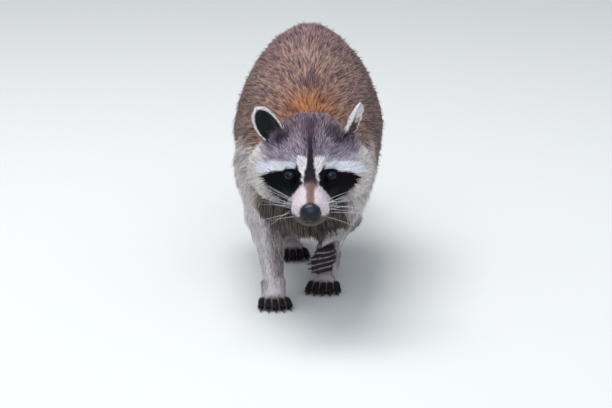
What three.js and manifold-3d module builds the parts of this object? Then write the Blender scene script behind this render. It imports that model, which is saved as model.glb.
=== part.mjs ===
// A life-size raccoon caught in mid-stride, walking towards -Y with its left forepaw lifted.
// Millimetres, +Z up, the floor at z = 0. Every form reaches out to the tips of the coat.
// The raccoon's own left is +X.

import * as THREE from "three";
import { mergeVertices } from "three/addons/utils/BufferGeometryUtils.js";
import Module from "manifold-3d";

const wasm = await Module();
wasm.setup();

// ---------------------------------------------------------------- driving dimensions

const GAP = 0.4; // clearance between neighbouring pieces
const EYE_HEIGHT = 182;
const EYE_APART = 44; // between the pupils
const EYE_RADIUS = 8;
const HEAD_PITCH = THREE.MathUtils.degToRad(18); // the muzzle points this far below level
const HEAD_SIDE = 1.5; // the head is carried this far to the left of the spine
const MUZZLE_LENGTH = 62; // pupils to the front of the nose
const NAPE_Y = 64; // the head ends and the neck begins here
const WITHERS_Y = 118; // the neck ends and the trunk begins here

// The torso from the nape to the rump: y, height of the back, height of the belly, half width.
const TORSO = [
  [34, 232, 127, 50],
  [62, 239, 107, 61],
  [90, 247, 95, 68],
  [125, 257, 89, 73],
  [165, 264, 87, 78],
  [210, 270, 88, 82],
  [260, 277, 91, 86],
  [310, 285, 97, 87],
  [350, 287, 112, 83],
  [390, 280, 134, 73],
  [425, 260, 158, 55],
  [448, 228, 186, 27],
];
const BACK_POINT = 1.6; // how peaked the back is: 2 is an ellipse, less is narrower on top
const BELLY_POINT = 2.3;
const WIDEST_SHARE = 0.42; // height of the widest line, as a share from belly to back

const V = (x, y, z) => new THREE.Vector3(x, y, z);

// Joints of the four legs. The right forefoot and both hind feet carry the raccoon.
const FORE_RIGHT = {
  shoulder: V(-53, 142, 162),
  elbow: V(-49, 158, 102),
  wrist: V(-41, 126, 30),
};
const FORE_LEFT = {
  shoulder: V(43, 134, 164),
  elbow: V(36, 140, 108),
  wrist: V(26, 72, 88),
};
const HIND_LEFT = {
  hip: V(47, 372, 180),
  knee: V(52, 288, 130),
  ankle: V(24, 252, 36),
};
const HIND_RIGHT = {
  hip: V(-47, 376, 178),
  knee: V(-57, 314, 112),
  ankle: V(-24, 402, 46),
};

// ---------------------------------------------------------------- fields
// A field gives the distance from a point to a form's surface, less than zero inside it.

const clamp = THREE.MathUtils.clamp;
const mix = THREE.MathUtils.lerp;

const softMin = (a, b, soft) => {
  const share = clamp(0.5 + (0.5 * (b - a)) / soft, 0, 1);
  return mix(b, a, share) - soft * share * (1 - share);
};

const joined = (soft, ...fields) => (p) =>
  fields.map((field) => field(p)).reduce((a, b) => softMin(a, b, soft));

const hollowed = (soft, field, ...hollows) => (p) =>
  -hollows.reduce((d, hollow) => softMin(d, hollow(p), soft), -field(p));

// A muscle round a bone, as thick as ra at a and rb at b.
const limb = (a, b, ra, rb) => {
  const along = b.clone().sub(a);
  const square = along.lengthSq();
  return (p) => {
    const reach = p.clone().sub(a);
    const share = clamp(reach.dot(along) / square, 0, 1);
    return reach.addScaledVector(along, -share).length() - mix(ra, rb, share);
  };
};

// An ellipsoid whose half axes lie along X, along forward and square to both.
const blob = (centre, [side, deep, tall], forward = V(0, -1, 0)) => {
  const up = V(1, 0, 0).cross(forward).negate();
  return (p) => {
    const q = p.clone().sub(centre);
    const scaled = V(q.x / side, q.dot(forward) / deep, q.dot(up) / tall);
    const size = scaled.length();
    scaled.set(scaled.x / side, scaled.y / deep, scaled.z / tall);
    return size < 1e-6 ? -Math.min(side, deep, tall) : (size * (size - 1)) / scaled.length();
  };
};

// ---------------------------------------------------------------- meshes and solids

const BISECTIONS = 12;

// How far a ray runs from a point inside the field until it leaves it.
function reachOf(field, from, direction, step) {
  const at = V(0, 0, 0);
  const value = (t) => field(at.copy(from).addScaledVector(direction, t));
  let outside = step;
  while (value(outside) < 0) outside += step;
  let inside = outside - step;
  for (let i = 0; i < BISECTIONS; i++) {
    const middle = (inside + outside) / 2;
    if (value(middle) < 0) inside = middle;
    else outside = middle;
  }
  return inside;
}

// A capsule round the line from a to b, each vertex pushed out to the field's surface.
function wrap(field, a, b, { around, along, cap = 4, step = 1.5, grow = 0 }) {
  const axis = b.clone().sub(a);
  const half = axis.length() / 2;
  const middle = a.clone().lerp(b, 0.5);
  const turn = new THREE.Quaternion().setFromUnitVectors(V(0, 1, 0), axis.normalize());
  const geometry = new THREE.CapsuleGeometry(1, 2 * half, cap, around, along);
  const position = geometry.getAttribute("position");
  const vertex = V(0, 0, 0);
  for (let i = 0; i < position.count; i++) {
    vertex.fromBufferAttribute(position, i);
    const foot = V(0, clamp(vertex.y, -half, half), 0);
    const direction = vertex.sub(foot).normalize().applyQuaternion(turn);
    const origin = foot.applyQuaternion(turn).add(middle);
    const reach = reachOf(field, origin, direction, step) + grow;
    position.setXYZ(i, ...origin.addScaledVector(direction, reach));
  }
  return geometry;
}

// A tube along a curve, closed by a point at each end; radius is a function of the share run.
function loft(curve, radius, sides, steps) {
  const frames = curve.computeFrenetFrames(steps, false);
  const points = [curve.getPointAt(0)];
  for (let i = 1; i < steps; i++) {
    const centre = curve.getPointAt(i / steps);
    for (let j = 0; j < sides; j++) {
      const angle = (2 * Math.PI * j) / sides;
      points.push(
        centre
          .clone()
          .addScaledVector(frames.normals[i], Math.cos(angle) * radius(i / steps))
          .addScaledVector(frames.binormals[i], Math.sin(angle) * radius(i / steps)),
      );
    }
  }
  points.push(curve.getPointAt(1));
  const faces = [];
  const at = (ring, side) => 1 + (ring - 1) * sides + (side % sides);
  for (let j = 0; j < sides; j++) {
    faces.push(0, at(1, j + 1), at(1, j));
    for (let ring = 1; ring < steps - 1; ring++) {
      faces.push(at(ring, j), at(ring, j + 1), at(ring + 1, j));
      faces.push(at(ring, j + 1), at(ring + 1, j + 1), at(ring + 1, j));
    }
    faces.push(at(steps - 1, j), at(steps - 1, j + 1), points.length - 1);
  }
  return new THREE.BufferGeometry().setFromPoints(points).setIndex(faces);
}

function solidOf(geometry) {
  geometry.deleteAttribute("normal");
  geometry.deleteAttribute("uv");
  const merged = mergeVertices(geometry, 1e-3);
  const solid = new wasm.Manifold(
    new wasm.Mesh({
      numProp: 3,
      vertProperties: merged.attributes.position.array,
      triVerts: new Uint32Array(merged.index.array),
    }),
  );
  if (solid.volume() < 0) throw new Error("a form is inside out");
  return solid;
}

const largestOf = (solid) =>
  solid.decompose().reduce((a, b) => (a.volume() > b.volume() ? a : b));

const half = (solid, normal, through) =>
  solid.trimByPlane([normal.x, normal.y, normal.z], normal.dot(through) + GAP / 2);

function meshOf(name, solid, material) {
  const { numProp, numVert, vertProperties, triVerts } = solid.getMesh();
  const points = new Float32Array(numVert * 3);
  for (let i = 0; i < numVert; i++) {
    points.set(vertProperties.subarray(i * numProp, i * numProp + 3), i * 3);
  }
  const geometry = new THREE.BufferGeometry();
  geometry.setAttribute("position", new THREE.BufferAttribute(points, 3));
  geometry.setIndex(new THREE.BufferAttribute(triVerts, 1));
  geometry.computeVertexNormals();
  const mesh = new THREE.Mesh(geometry, material);
  mesh.name = name;
  return mesh;
}

// ---------------------------------------------------------------- materials

const matte = (color, roughness = 0.9) =>
  new THREE.MeshStandardMaterial({ color, roughness, metalness: 0 });

const COAT = matte(0x6b5544); // grizzled brown of the back and flanks
const FACE = matte(0x8b8486); // grey head with its mask
const LEG = matte(0x8d8077); // pale grey-brown legs
const PAW = matte(0x4a3d3b, 0.75);
const TAIL = matte(0x5c4a3c);
const EAR = matte(0xd9d2c8);
const LEATHER = matte(0x15141a, 0.3); // wet nose
const EYE = matte(0x090a0e, 0.05);
const CLAW = matte(0x2e2624, 0.45);

// ---------------------------------------------------------------- head

const headForward = V(0, -Math.cos(HEAD_PITCH), -Math.sin(HEAD_PITCH));
const headUp = V(0, -Math.sin(HEAD_PITCH), Math.cos(HEAD_PITCH));

// A point of the head, measured from midway between the pupils.
const onHead = (side, forward, up) =>
  V(HEAD_SIDE + side, 0, EYE_HEIGHT).addScaledVector(headForward, forward).addScaledVector(headUp, up);

const headBlob = (side, forward, up, size) => blob(onHead(side, forward, up), size, headForward);
const bothSides = (make) => [make(-1), make(1)];

const eyeCentre = (side) => onHead((side * EYE_APART) / 2, 0, 0);

function headField() {
  const skull = joined(
    14,
    headBlob(0, -42, 3, [50, 48, 47]), // braincase
    headBlob(0, -14, 10, [34, 24, 24]), // forehead
    limb(onHead(0, -2, -15), onHead(0, 48, -16), 23, 12), // bridge of the muzzle
    limb(onHead(0, -20, -34), onHead(0, 43, -27), 24, 8), // lower jaw
    headBlob(0, -54, -33, [48, 44, 37]), // throat
  );
  const pads = bothSides((side) => headBlob(side * 9.5, 39, -21, [11, 15, 10.5]));
  const cheeks = bothSides((side) => headBlob(side * 37, -36, -14, [34, 32, 38]));
  const full = joined(10, skull, ...cheeks, ...pads);
  const sockets = bothSides((side) => limb(eyeCentre(side), onHead(side * 25, 26, 1), 9.2, 13));
  return hollowed(3, full, ...sockets);
}

const NOSE = { centre: onHead(0, MUZZLE_LENGTH - 8, -14), size: [11.4, 9.5, 10] };

const eyeSolid = (side, grow = 0) =>
  solidOf(
    new THREE.SphereGeometry(EYE_RADIUS + grow, 12, 8).translate(...eyeCentre(side)),
  );

const noseSolid = (grow = 0) =>
  solidOf(
    wrap(
      blob(NOSE.centre, NOSE.size, headForward),
      NOSE.centre,
      NOSE.centre.clone().addScaledVector(headForward, 1),
      { around: 12, along: 1, cap: 3, step: 1, grow },
    ),
  );

function headSolid() {
  return solidOf(
    wrap(headField(), onHead(0, -46, -8), onHead(0, 42, -17), {
      around: 24,
      along: 14,
      cap: 4,
    }),
  );
}

// ---------------------------------------------------------------- ears

const EAR_SHAPE = { length: 51, half: 18.5, wall: 3.2, across: 6, up: 6 };

// The ear is a leaf curled round its length: u runs across it from -1 to 1, v from root to tip.
function earPoint(u, v, offset) {
  const belly = 0.45; // where the ear is widest
  const flare = v < belly ? mix(0.8, 1, Math.sin((v / belly) * (Math.PI / 2))) : 1;
  const round = v < belly ? 1 : Math.sqrt(1 - ((v - belly) / (1.001 - belly)) ** 2);
  const width = EAR_SHAPE.half * flare * round + 0.6;
  const curl = mix(1.45, 0.7, v);
  const radius = width / curl;
  const inner = radius - offset * Math.min(1, radius / (2.2 * EAR_SHAPE.wall));
  const z = v * EAR_SHAPE.length;
  return V(inner * Math.sin(u * curl), inner * Math.cos(u * curl) - radius, z);
}

function earShell(grow) {
  const { across, up, wall } = EAR_SHAPE;
  const points = [];
  const back = (u) => -grow;
  const front = (u) => wall * (1 - 0.45 * u * u) + grow;
  for (const offset of [back, front]) {
    for (let j = 0; j <= up; j++) {
      for (let i = 0; i <= across; i++) {
        const u = (2 * i) / across - 1;
        points.push(earPoint(u * (1 + grow / 20), 1 - (1 - j / up) ** 1.6, offset(u)));
      }
    }
  }
  const row = across + 1;
  const sheet = row * (up + 1);
  const faces = [];
  const quad = (a, b, c, d) => faces.push(a, b, c, a, c, d);
  for (let j = 0; j < up; j++) {
    for (let i = 0; i < across; i++) {
      const a = j * row + i;
      quad(a, a + row, a + row + 1, a + 1);
      quad(sheet + a, sheet + a + 1, sheet + a + row + 1, sheet + a + row);
    }
    const [left, right] = [j * row, j * row + across];
    quad(left, sheet + left, sheet + left + row, left + row);
    quad(right, right + row, sheet + right + row, sheet + right);
  }
  for (let i = 0; i < across; i++) {
    const top = up * row + i;
    quad(i, i + 1, sheet + i + 1, sheet + i);
    quad(top, sheet + top, sheet + top + 1, top + 1);
  }
  return new THREE.BufferGeometry().setFromPoints(points).setIndex(faces);
}

// Each ear leans out from the head and turns about its own length.
const EARS = {
  right: { root: onHead(-30, -34, 22), lean: -0.62, tip: 0.1, turn: -0.2 },
  left: { root: onHead(28, -34, 25), lean: 0.54, tip: 0.08, turn: 1.2 },
};

function earSolid({ root, lean, tip, turn }, grow = 0) {
  const geometry = earShell(grow);
  geometry.rotateZ(turn).rotateX(tip).rotateY(lean).translate(...root);
  return solidOf(geometry);
}

// ---------------------------------------------------------------- torso

const torsoRow = new THREE.CubicInterpolant(
  TORSO.map(([y]) => y),
  TORSO.flatMap(([, top, bottom, width]) => [top, bottom, width]),
  3,
);

function torsoField(p) {
  const y = clamp(p.y, TORSO[0][0], TORSO.at(-1)[0]);
  const [top, bottom, width] = torsoRow.evaluate(y);
  const waist = mix(bottom, top, WIDEST_SHARE);
  const tall = p.z > waist ? top - waist : waist - bottom;
  const power = p.z > waist ? BACK_POINT : BELLY_POINT;
  const spread = Math.abs(p.x / width) ** power + Math.abs((p.z - waist) / tall) ** power;
  const across = (spread ** (1 / power) - 1) * Math.min(width, tall);
  return Math.max(across, Math.abs(p.y - y) - 1);
}

function torsoSolid() {
  const [front, rear] = [V(0, 88, 180), V(0, 398, 204)];
  return solidOf(wrap(torsoField, front, rear, { around: 20, along: 12, cap: 4, step: 3 }));
}

// ---------------------------------------------------------------- legs

// The outer shape of a leg: its muscles at the top, then two bones down to the foot.
const foreField = ({ shoulder, elbow, wrist }) =>
  joined(
    14,
    blob(shoulder, [32, 46, 55]),
    limb(shoulder, elbow, 30, 25),
    limb(elbow, wrist, 22, 11.5),
  );

const hindField = ({ hip, knee, ankle }) =>
  joined(
    14,
    blob(hip.clone().lerp(knee, 0.2), [37, 56, 58]),
    limb(hip.clone().lerp(knee, 0.4), knee, 40, 27),
    limb(knee, ankle, 26, 12.5),
  );

// The plane that parts two bones runs through their joint, midway between them.
function partingNormal(above, joint, below) {
  const down = joint.clone().sub(above).normalize();
  return down.add(below.clone().sub(joint).normalize()).normalize();
}

// The two lengths of a leg, which still overlap at their joint.
function legForms(field, [above, joint, below], grow = 0) {
  const top = above.clone().lerp(joint, 0.15);
  const end = joint.clone().lerp(below, 0.93);
  const size = { around: 10, along: 4, cap: 3, grow };
  return [wrap(field, top, joint, size), wrap(field, joint, end, size)].map(solidOf);
}

// ---------------------------------------------------------------- paws and claws

const DIGITS = 5;
const CLAW_BED = 0.4; // share of a claw's bare length that is sunk in its digit
const CLAW_ARCH = 2; // rise of a claw's back over the line from root to point

// A digit bends down from its knuckle to its tip.
const digitCurve = ({ knuckle, bend, tip }) => new THREE.QuadraticBezierCurve3(knuckle, bend, tip);

const digitSolid = (digit, thick) =>
  solidOf(
    loft(
      digitCurve(digit),
      (t) => thick * mix(1.08, 0.86, t) * Math.sqrt(Math.min(1, 8 * t, 7 * (1.01 - t))),
      6,
      4,
    ),
  );

// A claw runs from its bed in the digit to its point, arched away from the palm.
function clawSolid({ tip, point, arch }, thick, grow = 0) {
  const root = tip.clone().lerp(point, -CLAW_BED);
  const middle = root.clone().lerp(point, 0.55).addScaledVector(arch, CLAW_ARCH);
  const taper = (t) => (thick + grow) * Math.sqrt(Math.min(1, 9 * t)) * (1.04 - t) ** 0.6;
  return solidOf(loft(new THREE.QuadraticBezierCurve3(root, middle, point), taper, 4, 3));
}

// A paw from its palm's bone and its digits; the claws are bedded in the digits.
function pawSolids({ heel, ball, field, hock, digits, thick, sole }, leg, ankleNormal) {
  const palm = solidOf(wrap(field, heel, ball, { around: 8, along: 3, cap: 2 }));
  const foot = hock ? palm.add(solidOf(hock)) : palm;
  const paw = digits.reduce((made, digit) => made.add(digitSolid(digit, thick)), foot);
  const claws = digits.map((digit) => clawSolid(digit, thick * 0.42));
  const beds = digits.map((digit) => clawSolid(digit, thick * 0.42, GAP));
  const parted = beds.reduce((made, bed) => made.subtract(bed), half(paw, ankleNormal, leg));
  return {
    paw: largestOf(sole ? parted.trimByPlane([0, 0, 1], 0) : parted),
    claws,
  };
}

// A foot flat on the floor, its digits fanned out ahead of the ball.
function standingPaw(ankle, toes, { width, palmWidth, thick, reach, lift }) {
  const heading = toes.clone().sub(ankle).setZ(0).normalize();
  const across = V(0, 0, 1).cross(heading);
  const ball = toes.clone().addScaledVector(heading, -reach).setZ(8.5);
  const heel = ankle.clone().setZ(lift);
  const digits = Array.from({ length: DIGITS }, (_, k) => {
    const share = k / (DIGITS - 1) - 0.5; // from one side of the foot to the other
    const short = 5.5 * (2 * share) ** 2;
    const at = (forward, spread, height) =>
      ball
        .clone()
        .addScaledVector(heading, forward - short)
        .addScaledVector(across, share * spread)
        .setZ(height);
    return {
      knuckle: at(2, palmWidth, 8.5),
      bend: at(reach * 0.5, (palmWidth + width) / 2, 8),
      tip: at(reach - 8, width, thick * 0.5),
      point: at(reach, width * 1.04, 0.9),
      arch: V(0, 0, 1),
    };
  });
  const field = joined(
    6,
    limb(heel, ball, 10, palmWidth * 0.42),
    blob(ball, [palmWidth * 0.62, 13, 9.5]),
    limb(ankle, heel.clone().lerp(ball, 0.35), 12, 11),
    limb(ankle, heel, 12, 10),
  );
  const ankleField = joined(
    6,
    limb(ankle, heel.clone().lerp(ball, 0.3), 12.5, 11),
    limb(ankle, heel, 12.5, 10),
  );
  return {
    heel,
    ball,
    field,
    hock: wrap(ankleField, ankle, heel, { around: 8, along: 3, cap: 2 }),
    digits,
    thick,
    sole: true,
  };
}

// The lifted forepaw: the palm faces inwards and the digits hang towards the body's midline.
function liftedPaw(wrist) {
  const ball = wrist.clone().add(V(-3, -13, -13));
  const digits = Array.from({ length: DIGITS }, (_, k) => {
    const down = [10.5, 5, -1, -7, -12][k];
    const reach = [19, 24, 27, 26, 22][k];
    const knuckle = ball.clone().add(V(5, -4, down));
    return {
      knuckle,
      bend: knuckle.clone().add(V(-0.42 * reach, -10, 0)),
      tip: knuckle.clone().add(V(-reach, -1, -0.27 * reach)),
      point: knuckle.clone().add(V(-reach - 4, 5, -0.27 * reach - 2)),
      arch: V(-0.8, -0.6, 0),
    };
  });
  return {
    heel: wrist,
    ball,
    field: joined(6, limb(wrist, ball, 11, 9), blob(ball.clone().add(V(0, 0, -1)), [7.5, 7.5, 14.5])),
    digits,
    thick: 3.9,
    sole: false,
  };
}

// ---------------------------------------------------------------- tail

const TAIL_CURVE = new THREE.CatmullRomCurve3([
  V(0, 424, 214),
  V(0, 486, 172),
  V(2, 552, 122),
  V(6, 620, 84),
  V(10, 684, 66),
]);
const TAIL_RADII = new THREE.CubicInterpolant(
  [0, 0.18, 0.4, 0.65, 0.85, 1],
  [23, 29, 33, 34, 28, 15],
  1,
);
const TAIL_CUTS = [0.42, 0.72]; // shares of its length

function tailSolids() {
  const radius = (t) => TAIL_RADII.evaluate(t)[0] * Math.sqrt(Math.min(1, 10 * (1.005 - t)));
  const whole = (grow) => solidOf(loft(TAIL_CURVE, (t) => radius(t) + grow, 14, 14));
  const cuts = TAIL_CUTS.map((share) => [
    TAIL_CURVE.getTangentAt(share),
    TAIL_CURVE.getPointAt(share),
  ]);
  const before = (solid, [normal, through]) => half(solid, normal.clone().negate(), through);
  const after = (solid, [normal, through]) => half(solid, normal, through);
  const tail = whole(0);
  return {
    bed: before(whole(GAP), cuts[0]),
    pieces: {
      tail_base: before(tail, cuts[0]),
      tail_middle: before(after(tail, cuts[0]), cuts[1]),
      tail_tip: after(tail, cuts[1]),
    },
  };
}

// ---------------------------------------------------------------- assembly

const raccoon = new THREE.Group();
const add = (name, solid, material) => raccoon.add(meshOf(name, solid, material));

const FORE_FOOT = { width: 34, palmWidth: 24, thick: 4.3, reach: 34, lift: 11 };
const HIND_FOOT = { width: 36, palmWidth: 25, thick: 4.8, reach: 36, lift: 9.5 };

const legs = [
  {
    names: ["upper_foreleg_right", "lower_foreleg_right", "forepaw_right"],
    field: foreField(FORE_RIGHT),
    joints: Object.values(FORE_RIGHT),
    paw: standingPaw(FORE_RIGHT.wrist, V(-37, 80, 0), FORE_FOOT),
  },
  {
    names: ["upper_foreleg_left", "lower_foreleg_left", "forepaw_left"],
    field: foreField(FORE_LEFT),
    joints: Object.values(FORE_LEFT),
    paw: liftedPaw(FORE_LEFT.wrist),
  },
  {
    names: ["thigh_left", "shin_left", "hindpaw_left"],
    field: hindField(HIND_LEFT),
    joints: Object.values(HIND_LEFT),
    paw: standingPaw(HIND_LEFT.ankle, V(15, 148, 0), HIND_FOOT),
  },
  {
    names: ["thigh_right", "shin_right", "hindpaw_right"],
    field: hindField(HIND_RIGHT),
    joints: Object.values(HIND_RIGHT),
    paw: standingPaw(HIND_RIGHT.ankle, V(-18, 300, 0), HIND_FOOT),
  },
];

// The torso makes room for the tops of the legs, and the head for its organs.
const [nape, withers] = [V(0, NAPE_Y, EYE_HEIGHT), V(0, WITHERS_Y, EYE_HEIGHT)];
const napeTilt = V(0, 1, 0.12).normalize();
const head = half(headSolid(), napeTilt.clone().negate(), nape);
const torso = torsoSolid();
let trunk = half(torso, V(0, 1, 0), withers);
let neck = half(half(torso, V(0, -1, 0), withers), napeTilt, nape);

for (const { names, field, joints, paw } of legs) {
  const [above, joint, below] = joints;
  for (const room of legForms(field, joints, GAP)) {
    trunk = trunk.subtract(room);
    neck = neck.subtract(room);
  }
  const [upper, lower] = legForms(field, joints);
  const jointNormal = partingNormal(above, joint, below);
  const ankleNormal = partingNormal(joint, below, paw.ball);
  const made = pawSolids(paw, below, ankleNormal);
  const middle = half(half(lower, jointNormal, joint), ankleNormal.clone().negate(), below);
  add(names[0], largestOf(half(upper, jointNormal.clone().negate(), joint)), LEG);
  add(names[1], largestOf(middle), LEG);
  add(names[2], made.paw, PAW);
  made.claws.forEach((claw, k) => add(`claw_${names[2]}_${k + 1}`, claw, CLAW));
}

const tail = tailSolids();
trunk = trunk.subtract(tail.bed);
for (const [name, solid] of Object.entries(tail.pieces)) add(name, largestOf(solid), TAIL);

const ears = Object.entries(EARS);
const eyes = { left: 1, right: -1 };
const organBeds = [
  ...ears.map(([, ear]) => earSolid(ear, GAP)),
  ...Object.values(eyes).map((side) => eyeSolid(side, GAP)),
  noseSolid(GAP),
];
add("head", largestOf(organBeds.reduce((made, bed) => made.subtract(bed), head)), FACE);
add("neck", largestOf(neck), COAT);
add("trunk", largestOf(trunk), COAT);
for (const [side, ear] of ears) add(`ear_${side}`, earSolid(ear), EAR);
for (const [side, sign] of Object.entries(eyes)) add(`eye_${side}`, eyeSolid(sign), EYE);
add("nose", noseSolid(), LEATHER);

// The origin is on the floor, midway along and across the raccoon.
const middle = new THREE.Box3().setFromObject(raccoon).getCenter(V(0, 0, 0));
raccoon.position.set(-middle.x, -middle.y, 0);

export default raccoon;
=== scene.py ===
"""A life-size raccoon walking towards the viewer, as a still museum model.

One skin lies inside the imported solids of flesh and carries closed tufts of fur. Eyes, nose, claws and
whiskers are pieces of their own. Places are worked out in millimetres, X to the animal's left, Y from
head to tail and Z up, with Y = 0 at the pupils, and turned into the frame's metres as each mesh is made.
"""

import math

import bmesh
import bpy
import numpy as np
from mathutils import Matrix, Vector
from mathutils.bvhtree import BVHTree
from mathutils.kdtree import KDTree


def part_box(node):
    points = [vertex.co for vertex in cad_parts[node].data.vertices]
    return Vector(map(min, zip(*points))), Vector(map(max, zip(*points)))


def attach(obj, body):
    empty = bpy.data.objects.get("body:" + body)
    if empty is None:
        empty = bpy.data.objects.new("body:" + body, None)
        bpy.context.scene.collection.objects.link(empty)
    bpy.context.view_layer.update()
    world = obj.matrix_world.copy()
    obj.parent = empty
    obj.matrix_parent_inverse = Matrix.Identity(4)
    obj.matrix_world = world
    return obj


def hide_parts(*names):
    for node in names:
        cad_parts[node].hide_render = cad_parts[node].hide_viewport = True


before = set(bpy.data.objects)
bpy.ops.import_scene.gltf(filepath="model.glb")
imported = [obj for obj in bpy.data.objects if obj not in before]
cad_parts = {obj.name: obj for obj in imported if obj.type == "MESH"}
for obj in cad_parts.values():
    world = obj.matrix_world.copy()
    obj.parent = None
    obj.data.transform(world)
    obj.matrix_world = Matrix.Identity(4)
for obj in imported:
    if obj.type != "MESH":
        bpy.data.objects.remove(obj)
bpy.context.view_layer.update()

# --- measures

MM = 0.001
rng = np.random.default_rng(7)

EYE_MIDDLE = np.array([1.5, 0.0, 182.0])  # midway between the pupils
EYE_HALF_APART = 22.0
EYE_RADIUS = 8.0
HEAD_PITCH = math.radians(18)  # the muzzle points this far below level
FORWARD = np.array([0, -math.cos(HEAD_PITCH), -math.sin(HEAD_PITCH)])
ABOVE = np.array([0, -math.sin(HEAD_PITCH), math.cos(HEAD_PITCH)])
FACE_TILT = math.radians(14)  # the face's markings are laid out square to this line of sight

VOXEL = 1.8  # the skin's squares
GROW = 0.5  # closes the gaps between neighbouring solids
GROW_EAR = 0.9

# Each leg's joints, from the top down to the toes.
LEGS = {
    "foreleg_right": [(-53, 142, 162), (-49, 158, 102), (-41, 126, 30), (-37, 80, 9)],
    "foreleg_left": [(43, 134, 164), (36, 140, 108), (26, 72, 88), (16, 50, 66)],
    "hindleg_left": [(47, 372, 180), (52, 288, 130), (24, 252, 36), (15, 148, 9)],
    "hindleg_right": [(-47, 376, 178), (-57, 314, 112), (-24, 402, 46), (-18, 300, 9)],
}
LEG_NODES = {
    name: (f"upper_{name}", f"lower_{name}", name.replace("leg", "paw"))
    if name.startswith("fore")
    else (name.replace("hindleg", "thigh"), name.replace("hindleg", "shin"), name.replace("leg", "paw"))
    for name in LEGS
}
TAIL = np.array([(0, 424, 214), (0, 486, 172), (2, 552, 122), (6, 620, 84), (10, 684, 66)], float)
TAIL_RADII = ([0, 0.18, 0.4, 0.65, 0.85, 1], [23, 29, 33, 34, 28, 15])  # at shares of its length

EAR_LENGTH, EAR_HALF = 51.0, 18.5
EAR_BELLY = 0.45  # how far up its length an ear is widest
# Above the share white of its length an ear is all white, and its pale rim starts at the share rim.
EARS = {
    "ear_right": {
        "root": (-30, -34, 22), "lean": -0.62, "tip": 0.1, "turn": -0.2,
        "hollow": "ear_dark", "white": 1.1, "rim": 0.1,
    },
    "ear_left": {
        "root": (28, -34, 25), "lean": 0.54, "tip": 0.08, "turn": 1.2,
        "hollow": "ear_brown", "white": 0.6, "rim": 0.3,
    },
}
# Standing paws: how wide at the tips and at the knuckles, how far the toes reach past the ball, how thick.
FORE_FOOT = {"width": 34, "palm": 24, "reach": 34, "thick": 4.3}
HIND_FOOT = {"width": 36, "palm": 25, "reach": 36, "thick": 4.8}
LIFTED_PAW = "forepaw_left"
LIFTED_DROPS = [10.5, 5, -1, -7, -12]  # each digit's height on the lifted hand
LIFTED_REACHES = [19, 24, 27, 26, 22]
NOSE_CENTRE = (0.0, 54.3, -15.2)  # side, forward and up from the eyes' middle
NOSE_SIZE = (12.0, 9.8, 10.8)

# The nodes that carry each part's markings, by the start of their names.
HEAD = ("head", "eye", "nose")
PAWS = ("forepaw", "hindpaw")


def on_head(side, forward, up):
    """A point of the head, measured from midway between the pupils."""
    return EYE_MIDDLE + np.array([side, 0, 0]) + forward * FORWARD + up * ABOVE


# --- small maths


def unit(vectors):
    return vectors / np.maximum(np.linalg.norm(vectors, axis=-1, keepdims=True), 1e-9)


def ramp(values, low, high):
    """0 below low, 1 above high and a smooth rise between them."""
    t = np.clip((values - low) / (high - low), 0, 1)
    return t * t * (3 - 2 * t)


def hashed(cells, seed):
    """A number from 0 to 1 for each whole-numbered cell, the same on every run."""
    x, y, z = cells.astype(np.int64).T
    h = (x * 73856093) ^ (y * 19349663) ^ (z * 83492791) ^ (seed * 6542989)
    h = ((h ^ (h >> 13)) * 1274126177) & 0x7FFFFFFF
    h = ((h ^ (h >> 15)) * 668265263) & 0x7FFFFFFF
    return ((h >> 8) & 0xFFFF) / 65535.0


def noise(points, size, seed=0):
    """Smooth noise from -1 to 1 with lumps about size across."""
    places = points / size
    base = np.floor(places)
    t = places - base
    t = t * t * (3 - 2 * t)
    total = np.zeros(len(points))
    for corner in np.ndindex(2, 2, 2):
        weight = np.prod(np.where(corner, t, 1 - t), axis=1)
        total += weight * hashed(base + corner, seed)
    return total * 2 - 1


def mixed(first, second, share):
    return first + (second - first) * share


def tangent_part(vectors, normals):
    return vectors - normals * np.sum(vectors * normals, axis=1, keepdims=True)


def catmull_rom(points, steps):
    """A smooth curve through the points."""
    ends = np.vstack([2 * points[0] - points[1], points, 2 * points[-1] - points[-2]])
    t = np.linspace(0, len(points) - 1, steps)
    k = np.minimum(t.astype(int), len(points) - 2)
    t = (t - k)[:, None]
    a, b, c, d = (ends[k + i] for i in range(4))
    return 0.5 * (2 * b + (c - a) * t + (2 * a - 5 * b + 4 * c - d) * t**2 + (3 * b - a - 3 * c + d) * t**3)


def along(points, start, end):
    """The share of the way from start to end that each point has reached."""
    start, end = np.array(start, float), np.array(end, float)
    step = end - start
    return (points - start) @ step / (step @ step)


# --- frame and millimetres


def eyes_middle_in_frame():
    corners = [corner for side in ("left", "right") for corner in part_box("eye_" + side)]
    return np.mean([tuple(corner) for corner in corners], axis=0)


ORIGIN = eyes_middle_in_frame() - EYE_MIDDLE * MM


def to_frame(points):
    return ORIGIN + np.asarray(points, float) * MM


def from_frame(points):
    return (np.asarray(points, float) - ORIGIN) / MM


def vertices_of(mesh):
    flat = np.empty(len(mesh.vertices) * 3, np.float32)
    mesh.vertices.foreach_get("co", flat)
    return from_frame(flat.reshape(-1, 3))


# --- nodes

CLAW_NODES = sorted(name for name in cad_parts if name.startswith("claw_"))
ORGANS = ["eye_left", "eye_right", "nose"]
FLESH = sorted(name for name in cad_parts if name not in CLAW_NODES + ORGANS)
PARTS = FLESH + ORGANS


def is_part(part, *starts):
    """Which points belong to a node whose name begins with one of starts."""
    wanted = [k for k, name in enumerate(PARTS) if name.startswith(starts)]
    return np.isin(part, wanted)


def welded(name, grow=0.0):
    """A node's solid with its split vertices joined again, grown outward by so many millimetres."""
    solid = bmesh.new()
    solid.from_mesh(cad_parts[name].data)
    bmesh.ops.remove_doubles(solid, verts=solid.verts, dist=2e-6)
    solid.normal_update()
    for vertex in solid.verts:
        vertex.co += vertex.normal * (grow * MM)
    return solid


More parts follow.
